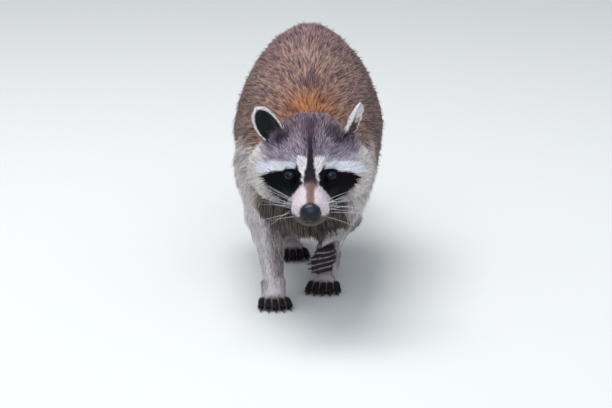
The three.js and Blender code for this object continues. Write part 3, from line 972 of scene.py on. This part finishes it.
def paint(points, normals, part):
    """The coat's colour at each point, the same for the skin and for its fur."""
    colours = paint_body(points, normals)
    for name, joints in LEGS.items():
        top, shin, paw = LEG_NODES[name]
        chosen = is_part(part, top, shin)
        down = along(points[chosen], *joints[:2])
        if name.startswith("fore"):
            legs = paint_foreleg(points[chosen], joints, 1 if name.endswith("left") else -1)
            share = ramp(down, -0.1, 0.6)
        else:
            legs = paint_hindleg(points[chosen], joints)
            share = ramp(down, 0.3, 1.1)
        colours[chosen] = mixed(colours[chosen], legs, share[:, None])
        chosen = is_part(part, paw)
        colours[chosen] = paint_paw(points[chosen], normals[chosen], joints, paw)
    chosen = is_part(part, "tail")
    colours[chosen] = paint_tail(points[chosen])
    chosen = is_part(part, *HEAD)
    colours[chosen] = paint_head(points[chosen], normals[chosen])
    for name, ear in EARS.items():
        chosen = is_part(part, name)
        colours[chosen] = paint_ear(points[chosen], normals[chosen], ear)
    return colours


# --- lie of the coat


def lie_guides(points, part):
    """Roughly which way the hair runs at each point, before it is laid along the skin."""
    side, forward, up = head_places(points)
    guide = np.tile([0.0, 1.0, -0.38], (len(points), 1))
    chest = (ramp(170 - points[:, 2], 0, 50) * ramp(150 - points[:, 1], 0, 60))[:, None]
    guide = guide + chest * [0, -0.65, -0.7]
    head = is_part(part, *HEAD)
    from_nose = unit(points - on_head(0, 60, -6))
    outward = np.sign(side)[:, None] * np.array([1.0, 0, 0])
    cheek = (ramp(np.abs(side), 14, 40) * ramp(8 - up, 0, 20))[:, None]
    throat = (ramp(-up, 22, 34) * ramp(20 - forward, 0, 14))[:, None]
    flow = from_nose + [0, 0.35, 0] + cheek * (0.45 * outward + [0, 0.1, -0.5]) + throat * [0, 0.3, -0.9]
    guide[head] = flow[head]
    for name, joints in LEGS.items():
        for k, node in enumerate(LEG_NODES[name]):
            chosen = is_part(part, node)
            bone = np.subtract(joints[k + 1], joints[k])
            guide[chosen] = unit(bone) + ([0, 0.3, 0] if k == 0 else 0)
    tail = is_part(part, "tail")
    guide[tail] = tail_places(points[tail])[1]
    for name, ear in EARS.items():
        chosen = is_part(part, name)
        across = ear_places(points[chosen], ear)[1]
        turn = ear_turn(ear)
        guide[chosen] = turn[:, 2] + 0.9 * across[:, None] * turn[:, 0]
    return unit(guide)


def lie_field(surface, part):
    """The lie of the coat, laid along the skin and evened out over it in turn."""
    normals = surface.normals()
    lie = lie_guides(surface.points, part)
    for _ in range(6):
        lie = unit(tangent_part(surface.spread(lie, 6), normals))
    return lie


# --- tufts

PATCH = 0.0015  # half a tuft's patch on the bake map
OWN_NORMAL = 0.45  # how far a tuft is shaded by its own shape rather than by the body's
MOST_TUFTS = 31000  # in one piece
SPINDLE = np.array([(0, 1, 2), (0, 2, 3), (0, 3, 1), (4, 2, 1), (4, 3, 2), (4, 1, 3)])
PATCH_PLACES = PATCH * np.array([(0, -1), (-1, 0), (0, 0.15), (1, 0), (0, 1)])
FRINGE = 0.55  # how much longer the fur hangs under the chest
STRAYS = 0.035  # the share of guard hairs that stand out of the coat
CLUMP = 5.0  # a lock's size
GATHER = 0.28  # how far the tips of a lock are drawn together
NOSE_BARE, EYE_BARE, LIPS_BARE = 10.5, 1.1, 0.7  # no fur this near the nose's centre, an eyeball or the lips
NO_FUR = 99  # the spacing of roots on bare skin
BEND_SHARE = 0.45  # how far along a tuft its bend is
ROOT_SUNK = 0.4  # how far a tuft starts under the skin


def coat_spacing(normals, part, depth):
    """Distance between roots at each point, or a huge one where there is no fur."""
    spacing = np.interp(depth, [1, 3, 8, 11], [0.74, 0.86, 1.12, 1.2])
    spacing[is_part(part, "tail")] = 1.15
    spacing[is_part(part, "ear")] = 0.8
    paws = is_part(part, *PAWS)
    spacing[paws] = 0.9
    spacing[(paws & (normals[:, 2] < -0.45)) | is_part(part, "nose", "eye")] = NO_FUR
    return spacing


def no_fur_near(points):
    """Roots that would grow from an eye, the nose or between the lips."""
    bad = np.linalg.norm(points - on_head(*NOSE_CENTRE), axis=1) < NOSE_BARE
    for side in (-1, 1):
        offset = points - eye_centre(side)
        ahead = offset @ eye_axes(side)[0] > 0
        bad |= (np.linalg.norm(offset, axis=1) < EYE_RADIUS + EYE_BARE) & ahead
    return bad | (mouth_gap(points) < LIPS_BARE)


def grow_roots(surface, fields, spacing):
    """Places roots evenly over the skin and reads every field there."""
    density = (1 / spacing**2)[surface.faces].mean(axis=1)
    wanted = np.cumsum(surface.areas() * density * (1))
    count = int(wanted[-1])
    places = np.arange(count) + rng.random(count)
    face = np.minimum(np.searchsorted(wanted, places), len(wanted) - 1)
    a, b = rng.random((2, count))
    flip = a + b > 1
    a, b = np.where(flip, 1 - a, a), np.where(flip, 1 - b, b)
    shares = np.stack([1 - a - b, a, b], axis=1)
    corners = surface.faces[face]
    read = {
        name: (values[corners] * (shares[..., None] if values.ndim == 2 else shares)).sum(axis=1)
        for name, values in fields.items()
    }
    read["part"] = fields["part"][corners[np.arange(count), shares.argmax(axis=1)]]
    return read


def towards(first, second, angle):
    """The first direction turned towards the second."""
    return np.cos(angle) * first + np.sin(angle) * second


def tuft_shapes(roots):
    """Five points for each tuft: its root, a ring of three at its bend, and its tip."""
    place, normal, depth = roots["place"], roots["normal"], roots["depth"]
    lie = unit(tangent_part(roots["lie"], normal))
    count = len(place)
    swing = 0.24 * noise(place, 16, 5) + 0.16 * noise(place, 6, 6) + 0.12 * rng.standard_normal(count)
    across = np.cross(normal, lie)
    lie = towards(lie, across, swing[:, None])
    across = np.cross(normal, lie)
    ratio = np.interp(depth, [2, 8], [3.0, 1.85])
    length = ratio * depth * (1 + 0.16 * rng.standard_normal(count).clip(-1.6, 1.6))
    rise = 1 / (0.565 * ratio) * (1 + 0.2 * noise(place, 9, 8))
    x, y, z = place.T
    hanging = ramp(124 - z, 0, 18) * ramp(190 - y, 0, 50) * ramp(42 - np.abs(x + 8), 0, 16)
    length *= 1 + FRINGE * hanging * (depth > 7)
    stray = (rng.random(count) < STRAYS) & (depth > 4) & (z > 125)
    length[stray] *= 1.25
    rise[stray] += 0.14
    length, rise = length[:, None], rise[:, None]
    bend = place + BEND_SHARE * length * towards(lie, normal, rise)
    tip = bend + (1 - BEND_SHARE) * length * towards(lie, normal, 0.25 * rise)
    tip = gathered(place, tip, depth)
    width = np.interp(depth, [1, 3, 8, 11], [0.5, 0.62, 0.85, 0.95])[:, None]
    width = width * (0.8 + 0.4 * rng.random((count, 1)))
    ring = [bend - across * width / 2, bend + normal * width * 0.4, bend + across * width / 2]
    points = np.stack([place - normal * ROOT_SUNK, *ring, tip], axis=1)
    above_floor(points)
    return points


def gathered(place, tip, depth):
    """Draws the tips of neighbouring tufts together into locks."""
    cells = np.floor((place + 2.2 * np.stack([noise(place, 5, k) for k in (21, 22, 23)], axis=1)) / CLUMP)
    _, lock = np.unique(cells.astype(np.int64), axis=0, return_inverse=True)
    lock = lock.ravel()
    size = np.bincount(lock)
    middle = np.stack([np.bincount(lock, tip[:, k]) / size for k in range(3)], axis=1)[lock]
    return mixed(tip, middle, GATHER * ramp(depth, 2, 8)[:, None])


FROST = np.array([0.86, 0.80, 0.82])  # the pale tips of the head and legs
TAN = np.array([0.84, 0.70, 0.58])  # and of the body
DARK_TINT = np.array([1.02, 0.93, 1.05])  # what the dark flecks are multiplied by
FLECK = np.array([1.7, 3.2, 1.9])  # a fleck's size across, along the body and in height


def tuft_colours(roots, colours, tips):
    """Dark at the root, grizzled along its length and pale or dark at the tip."""
    count = len(colours)
    bright = colours.mean(axis=1)
    deep = roots["depth"]
    grizzle = np.interp(bright, [0.08, 0.35, 0.75, 0.93], [0.1, 1, 0.75, 0.1]) * ramp(deep, 0.8, 3)
    size = np.interp(deep, [2.5, 8], [0.62, 1])[:, None]
    fleck = noise(tips / (FLECK * size), 1, 33) + 0.45 * noise(tips / (FLECK * size), 0.45, 34)
    chance = 0.5 + 0.75 * fleck + 0.32 * (rng.random(count) - 0.5)
    tone = 1 + 0.1 * rng.standard_normal(count).clip(-2, 2) * (0.3 + 0.7 * grizzle)
    tone = tone * (1 + 0.08 * grizzle * noise(tips, 16, 32))
    shift = np.interp(chance, [0.25, 0.42, 0.58, 0.75], [-1, -0.25, 0.1, 1]) * grizzle
    tip = 1 + np.where(shift > 0, 0.24, 0.5) * shift
    middle = 1 + np.where(shift > 0, -0.06, 0.42) * shift
    root = 0.5 + 0.42 * ramp(bright, 0.55, 0.9)
    shades = np.stack([root, middle, middle, middle, tip], axis=1) * tone[:, None]
    tuft = colours[:, None] * shades[..., None]
    tuft = tuft * (1 + np.maximum(-shift, 0)[:, None, None] * (DARK_TINT - 1))
    frost = np.maximum(shift, 0)[:, None] * [0, 0.06, 0.06, 0.06, 0.44]
    body = is_part(roots["part"], "trunk", "neck", "thigh", "tail") & (bright < 0.62)
    pale = np.where(body[:, None], TAN, FROST)[:, None]
    return np.clip(mixed(tuft, pale, frost[..., None]), 0.005, 1)


GROUPS = {
    "head": HEAD,
    "ears": ("ear",),
    "neck": ("neck",),
    "trunk": ("trunk",),
    "tail": ("tail",),
    **LEG_NODES,
}


def group_axis(group):
    """The direction that a group of the coat is long in."""
    if group in LEGS:
        return unit(np.subtract(LEGS[group][2], LEGS[group][0]))
    if group == "head":
        return FORWARD
    if group == "tail":
        return unit(TAIL[-1] - TAIL[0])
    return np.array([0.0, 1.0, 0.0])


def unwrapped(points, group):
    """Each point's place on a map of its part of the skin, opened out round the part's own length."""
    axis = group_axis(group)
    out = unit(np.cross(axis, [1.0, 0, 0.01]))
    frame_axes = np.stack([out, np.cross(axis, out), axis])
    local = (points - points.mean(axis=0)) @ frame_axes.T
    half = np.maximum(np.abs(local).max(axis=0), 1e-6)
    ball = local / half
    turn = np.arctan2(ball[:, 1], ball[:, 0]) / (2 * math.pi) + 0.5
    rise = np.arccos(np.clip(unit(ball)[:, 2], -1, 1)) / math.pi
    places = np.stack([turn, rise], axis=1)
    low, high = places.min(axis=0), places.max(axis=0)
    return 0.01 + 0.98 * (places - low) / np.maximum(high - low, 1e-6)


def tuft_piece(name, group, shapes, shades, roots, normals, material):
    """A mesh of tufts, each mapped to a patch of its own where its root stands."""
    faces = (SPINDLE + 5 * np.arange(len(shapes))[:, None, None]).reshape(-1, 3)
    mesh = mesh_from(name, shapes.reshape(-1, 3), faces)
    middle = shapes[:, 1:4].mean(axis=1, keepdims=True)
    own = unit(shapes - middle) * [[[0], [1], [1], [1], [0]]]
    mesh.normals_split_custom_set_from_vertices(unit(normals[:, None] + OWN_NORMAL * own).reshape(-1, 3))
    colour_mesh(mesh, shades.reshape(-1, 3))
    places = (unwrapped(roots, group)[:, None] + PATCH_PLACES).reshape(-1, 2)
    layer = mesh.uv_layers.new(name="OFBake")
    layer.data.foreach_set("uv", places[faces.ravel()].astype(np.float32).ravel())
    piece(mesh, material)


def coat_pieces(surface, part, depth, material):
    """Grows the whole coat, in pieces small enough to export."""
    normals = surface.normals()
    fields = {
        "place": surface.points,
        "normal": normals,
        "depth": np.maximum(depth, 0.9),
        "lie": lie_field(surface, part),
        "part": part,
    }
    roots = grow_roots(surface, fields, coat_spacing(normals, part, depth))
    keep = ~no_fur_near(roots["place"])
    roots = {name: values[keep] for name, values in roots.items()}
    roots["normal"] = unit(roots["normal"])
    shapes = tuft_shapes(roots)
    seen = (shapes[:, 2] + shapes[:, 4]) / 2 - roots["normal"] * 0.6 * roots["depth"][:, None]
    shades = tuft_colours(roots, paint(seen, roots["normal"], roots["part"]), shapes[:, 4])
    for group, starts in GROUPS.items():
        chosen = np.where(is_part(roots["part"], *starts))[0]
        chosen = chosen[np.argsort(roots["place"][chosen] @ group_axis(group), kind="stable")]
        bands = math.ceil(len(chosen) / MOST_TUFTS)
        for k, band in enumerate(np.array_split(chosen, bands)):
            name = f"coat_{group}_{k + 1}" if bands > 1 else f"coat_{group}"
            places, facing = roots["place"][band], roots["normal"][band]
            tuft_piece(name, group, shapes[band], shades[band], places, facing, material)


# --- materials


def plain_material(name, roughness, specular):
    material = bpy.data.materials.new(name)
    material.use_nodes = True
    shader = material.node_tree.nodes["Principled BSDF"]
    shader.inputs["Roughness"].default_value = roughness
    shader.inputs["Specular IOR Level"].default_value = specular
    return material, shader


def uneven_material(name, roughness, specular, speckle, bump=None, pebbles=None, **inputs):
    """The stored colour, made uneven by a speckle: its scale, its darkest shade and its lightest.

    A bump, given as its height in metres and its strength, follows the speckle, or pebbles of this scale.
    """
    material, shader = plain_material(name, roughness, specular)
    nodes, links = material.node_tree.nodes, material.node_tree.links

    def node(kind, output, values, **settings):
        """The output of a new node, with its inputs set or linked."""
        made = nodes.new("ShaderNode" + kind)
        for setting, value in settings.items():
            setattr(made, setting, value)
        connect(made, values)
        return made.outputs[output]

    def connect(made, values):
        for socket, value in values.items():
            if isinstance(value, bpy.types.NodeSocket):
                links.new(value, made.inputs[socket])
            else:
                made.inputs[socket].default_value = value

    scale, darkest, lightest = speckle
    place = node("TexCoord", "Object", {})
    grain = node("TexNoise", "Fac", {"Scale": scale, "Vector": place})
    shades = {"From Min": 0.3, "From Max": 0.7, "To Min": darkest, "To Max": lightest, "Value": grain}
    shade = node("MapRange", "Result", shades)
    stored = node("Attribute", "Color", {}, attribute_name="coat")
    colour = node("VectorMath", "Vector", {0: stored, "Scale": shade}, operation="SCALE")
    connect(shader, {"Base Color": colour, **inputs})
    if bump:
        if pebbles:
            grain = node("TexVoronoi", "Distance", {"Scale": pebbles, "Vector": place})
        relief = {"Distance": bump[0], "Strength": bump[1], "Height": grain}
        connect(shader, {"Normal": node("Bump", "Normal", relief)})
    return material


# --- skin piece

SKIN_TRIANGLES = 195000


SKIN_SHADE, BARE_SHADE = 0.62, 0.9  # how bright the skin is under the fur, and where it is almost bare


def skin_piece(surface, part, depth, material):
    """The skin, with fewer triangles under the long coat and all of them on the face, ears and paws."""
    loose = ~(is_part(part, "ear", *PAWS) | near_face(surface.points))
    mesh = mesh_from("skin", surface.points, surface.faces)
    mesh = with_modifier(mesh, "DECIMATE", loose, ratio=SKIN_TRIANGLES / len(mesh.polygons))
    points = vertices_of(mesh)
    nearest = nearest_in(points, surface.points)
    colours = paint(points, surface.normals()[nearest], part[nearest])
    shade = mixed(SKIN_SHADE, BARE_SHADE, ramp(3 - depth[nearest], 0, 2))
    colour_mesh(mesh, colours * shade[:, None])
    mesh.polygons.foreach_set("use_smooth", np.ones(len(mesh.polygons), bool))
    mesh.name = "skin"
    piece(mesh, material, FLESH)


# --- eyes

CORNEA_HALF_ANGLE = math.radians(38)
CORNEA_BULGE = 0.5
PUPIL_ANGLE, IRIS_ANGLE = math.radians(20), math.radians(50)
BEHIND_LIDS = 0.3  # how much smaller the eyeball is than its bed


def ring_faces(rings, sides):
    """Triangles over rings of points between a first point and a last one."""
    last = 1 + rings * sides
    faces = []
    for k in range(sides):
        j = (k + 1) % sides
        faces += [(0, 1 + k, 1 + j), (last, last - sides + j, last - sides + k)]
        for row in range(rings - 1):
            a, b = 1 + row * sides + k, 1 + row * sides + j
            faces += [(a, a + sides, b + sides), (a, b + sides, b)]
    return np.array(faces)


def ball(rings, sides):
    """Points and faces of a sphere of radius 1 round +Z, its first and last points at the poles."""
    polar = np.linspace(0, math.pi, rings + 1)[1:-1, None]
    turn = np.arange(sides) * 2 * math.pi / sides
    across = np.sin(polar)
    grid = [across * np.cos(turn), across * np.sin(turn), np.cos(polar) * np.ones(sides)]
    points = np.vstack([[0, 0, 1], np.stack(grid, axis=2).reshape(-1, 3), [0, 0, -1]])
    return points, ring_faces(rings - 1, sides)


def eye_piece(side, material):
    """An eyeball with its cornea standing a little proud, and a painted reflection of the sky on its upper
    iris.
    """
    name = "left" if side > 0 else "right"
    gaze, outward, upward = eye_axes(side)
    points, faces = ball(28, 40)
    polar = np.arccos(np.clip(points[:, 2], -1, 1))
    bulge = CORNEA_BULGE * np.cos(np.clip(polar / CORNEA_HALF_ANGLE, 0, 1) * math.pi / 2) ** 2
    reach = EYE_RADIUS - BEHIND_LIDS + bulge
    turned = points @ np.stack([outward, np.cross(gaze, outward), gaze])
    mesh = mesh_from("eyeball_" + name, eye_centre(side) + turned * reach[:, None], faces)
    # painted reflection of the sky: the upper part of the iris turns lighter blue
    painted_sky_share = ramp(turned @ upward, 0.02, 0.4) * ramp(polar, PUPIL_ANGLE - 0.1, PUPIL_ANGLE + 0.2)
    colour_mesh(mesh, layered(
        len(points), "pupil",
        ("iris", ramp(polar, PUPIL_ANGLE, PUPIL_ANGLE + 0.08)),
        ("eye_painted_sky_reflection", painted_sky_share),
        ("eye_rim", ramp(polar, IRIS_ANGLE - 0.12, IRIS_ANGLE)),
    ))
    piece(mesh, material, ["eye_" + name])


# --- nose


def nose_piece(material):
    """A leathery pad with two comma-shaped nostrils and a groove below, a painted highlight on top and
    painted shade in the nostrils and groove.
    """
    points, faces = ball(44, 60)
    points = points[:, [0, 2, 1]] * [1, 1, -1]  # forward along the second number, up along the third
    side, forward, up = points.T
    out = np.abs(side) - 0.47
    hole = np.exp(-(np.hypot(out / 0.2, (up + 0.12 - 0.25 * out) / 0.17) ** 2))
    slit = np.exp(-(np.hypot((np.abs(side) - 0.72) / 0.24, (up + 0.3) / 0.09) ** 2))
    groove = np.exp(-((side / 0.055) ** 2)) * ramp(-up, -0.1, 0.25) * ramp(forward, 0, 0.4)
    ahead = ramp(forward, 0.1, 0.4)
    reach = 1 + 0.05 * ramp(up, 0.1, 0.8) - 0.06 * ramp(-up, 0.3, 0.9)
    reach = reach - 0.2 * hole * ahead - 0.13 * slit * ramp(forward, 0, 0.3)
    local = points * (reach - 0.09 * groove)[:, None] * NOSE_SIZE
    mesh = mesh_from("nose_pad", on_head(*NOSE_CENTRE) + local @ NOSE_AXES, faces)
    # painted shade in the nostrils, the slits and the groove
    dark = np.clip(hole * ahead + 0.8 * slit + 0.6 * groove, 0, 1)
    # painted highlight: lighter and bluer towards the top of the pad
    colours = layered(len(points), "nose_low", ("nose_painted_highlight", ramp(up, -0.1, 0.75)))
    colour_mesh(mesh, colours * (1 - 0.8 * dark[:, None]))
    piece(mesh, material, ["nose"])


# --- claws

CLAW_SIDES, CLAW_STEPS = 12, 9
CLAW_FLATNESS = 0.8  # a claw's width over its height


def claw_line(name):
    """A claw's middle line and radii, read off the rings of its solid."""
    solid = welded(name)
    points = from_frame([vertex.co for vertex in solid.verts])
    solid.free()
    middle = points.mean(axis=0)
    axis = np.linalg.svd(points - middle)[2][0]
    order = np.argsort((points - middle) @ axis)
    rings = [points[order[:1]], points[order[1:5]], points[order[5:9]], points[order[9:]]]
    line = np.array([ring.mean(axis=0) for ring in rings])
    radii = np.array([np.linalg.norm(ring - ring.mean(axis=0), axis=1).mean() for ring in rings])
    if radii[1] < radii[2]:
        line, radii = line[::-1], radii[::-1]
    return line, radii


def tube(line, radii, sides, flat=1.0):
    """A closed tube along a line that ends in points."""
    ahead = unit(np.gradient(line, axis=0))
    across = unit(np.cross(ahead, [0.0, 0.1, 1.0]))[:, None]
    rise = np.cross(across, ahead[:, None])
    turn = (np.arange(sides) * 2 * math.pi / sides)[None, :, None]
    rings = (line[:, None] + towards(across * flat, rise, turn) * radii[:, None, None])[1:-1]
    points = np.vstack([line[:1], rings.reshape(-1, 3), line[-1:]])
    return points, ring_faces(len(rings), sides)[:, [0, 2, 1]]


def joined(shapes):
    """Several point and face lists as one."""
    points, faces, first = [], [], 0
    for shape_points, shape_faces in shapes:
        points.append(shape_points)
        faces.append(shape_faces + first)
        first += len(shape_points)
    return np.vstack(points), np.vstack(faces)


def claw_pieces(material):
    """The five claws of each paw, as one piece."""
    for paw in ("forepaw_right", "forepaw_left", "hindpaw_right", "hindpaw_left"):
        nodes = [name for name in CLAW_NODES if paw in name]
        shapes, ends = [], []
        for name in nodes:
            line, radii = claw_line(name)
            stops = np.linspace(0, 3, CLAW_STEPS)
            girth = np.interp(stops, range(4), [radii[1] * 0.6, radii[1], radii[2], 0.05])
            shapes.append(tube(catmull_rom(line, CLAW_STEPS), girth, CLAW_SIDES, CLAW_FLATNESS))
            ends += [0, *np.repeat(stops[1:-1], CLAW_SIDES), 3]
        points, faces = joined(shapes)
        above_floor(points)
        mesh = mesh_from("claws_" + paw, points, faces)
        colour_mesh(mesh, RGB["claw"] * np.interp(ends, [0, 3], [0.8, 1.5])[:, None])
        piece(mesh, material, nodes)


# --- whiskers

WHISKERS = 10  # on each side
WHISKER_SIDES, WHISKER_STEPS = 5, 9
WHISKER_THICK = 0.2
WHISKER_COLOUR = (0.86, 0.85, 0.88)


def whisker_piece(tree, material):
    """Long white hairs that sweep back from the pads of the muzzle."""
    shapes = []
    for side in (-1, 1):
        for k in range(WHISKERS):
            row, place = k % 3, k // 3
            root = on_head(side * (11 + 2.2 * place), 47 - 5.2 * place, -12.5 - 4.2 * row)
            root = np.array(tree.find_nearest(Vector(root))[0])
            length = 34 + 30 * rng.random() + 3 * place
            rise = 0.28 - 0.3 * row + 0.16 * rng.standard_normal()
            aim = unit(np.array([side, 0.2 + 0.5 * rng.random(), rise]))
            droop = np.array([0, 0.35, -0.5 * rng.random()])
            t = np.linspace(0, 1, WHISKER_STEPS)[:, None]
            line = root + length * (aim * t + 0.3 * droop * t**2)
            shapes.append(tube(line, WHISKER_THICK * (1 - 0.85 * t[:, 0]), WHISKER_SIDES))
    mesh = mesh_from("whiskers", *joined(shapes))
    colour_mesh(mesh, np.tile(WHISKER_COLOUR, (len(mesh.vertices), 1)))
    piece(mesh, material)


# --- stage

PHOTO_WIDTH = 612
FOCAL_PIXELS = 3091
SENSOR = 36.0
CAMERA_ELEVATION = math.radians(14)
CAMERA_DISTANCE = 3408.0
CAMERA_TARGET = np.array([-3.3, 0, 149.6])
FLOOR_HALF = 6.0


def make_camera():
    data = bpy.data.cameras.new("camera")
    data.sensor_width = SENSOR
    data.lens = FOCAL_PIXELS / PHOTO_WIDTH * SENSOR
    data.clip_start, data.clip_end = 0.1, 50
    camera = added("camera", data)
    back = np.array([0, -math.cos(CAMERA_ELEVATION), math.sin(CAMERA_ELEVATION)])
    camera.location = to_frame(CAMERA_TARGET + back * CAMERA_DISTANCE)
    camera.rotation_euler = (math.pi / 2 - CAMERA_ELEVATION, 0, 0)
    bpy.context.scene.camera = camera


def make_floor():
    corners = [(x * FLOOR_HALF, y * FLOOR_HALF, 0) for x, y in ((-1, -1), (1, -1), (1, 1), (-1, 1))]
    mesh = bpy.data.meshes.new("floor")
    mesh.from_pydata(corners, [], [(0, 1, 2, 3)])
    material, shader = plain_material("studio_floor", 0.85, 0.2)
    shader.inputs["Base Color"].default_value = (0.72, 0.73, 0.72, 1)
    mesh.materials.append(material)
    added("floor", mesh)


def area_light(name, place, target, size, power, colour):
    data = bpy.data.lights.new(name, "AREA")
    data.size, data.energy, data.color = size, power, colour
    light = added(name, data)
    light.location = place
    light.rotation_euler = (Vector(target) - Vector(place)).to_track_quat("-Z", "Y").to_euler()


def make_lights():
    world = bpy.data.worlds.new("studio")
    world.use_nodes = True
    background = world.node_tree.nodes["Background"]
    background.inputs["Color"].default_value = (0.86, 0.92, 1.0, 1)
    background.inputs["Strength"].default_value = 0.55
    bpy.context.scene.world = world
    area_light("overhead", (-0.5, 0.1, 2.4), (0, 0, 0.15), 1.6, 46, (1.0, 0.98, 0.96))
    area_light("key", (-0.1, -2.7, 1.9), (0, -0.2, 0.15), 2.6, 48, (0.86, 0.94, 1.0))


# --- the animal

skin, part, depth = refined(*skin_surface())
shape_digits(skin, part)
fit_lids(skin)
sink_under_nose(skin)
press_mouth(skin)
fur = uneven_material("fur", 0.62, 0.13, (700, 0.88, 1.12), **{"Sheen Weight": 0.02})
coat_pieces(skin, part, depth, fur)
skin_piece(skin, part, depth, uneven_material("skin", 0.75, 0.1, (1400, 0.6, 1.0), (0.0006, 1.0)))
eyeball = uneven_material("eyeball", 0.04, 0.4, (900, 0.8, 1.2), IOR=1.376)
for side in (-1, 1):
    eye_piece(side, eyeball)
nose_piece(uneven_material("nose_leather", 0.26, 0.3, (500, 0.8, 1.25), (0.0002, 0.6), pebbles=1100))
claw_pieces(uneven_material("horn", 0.38, 0.5, (600, 0.75, 1.25), (0.0002, 1.0)))
skin_tree = BVHTree.FromPolygons(skin.points.tolist(), skin.faces.tolist())
whisker_piece(skin_tree, uneven_material("whisker", 0.4, 0.5, (300, 0.9, 1.05)))
make_camera()
make_floor()
make_lights()
bpy.context.scene.view_settings.view_transform = "Standard"
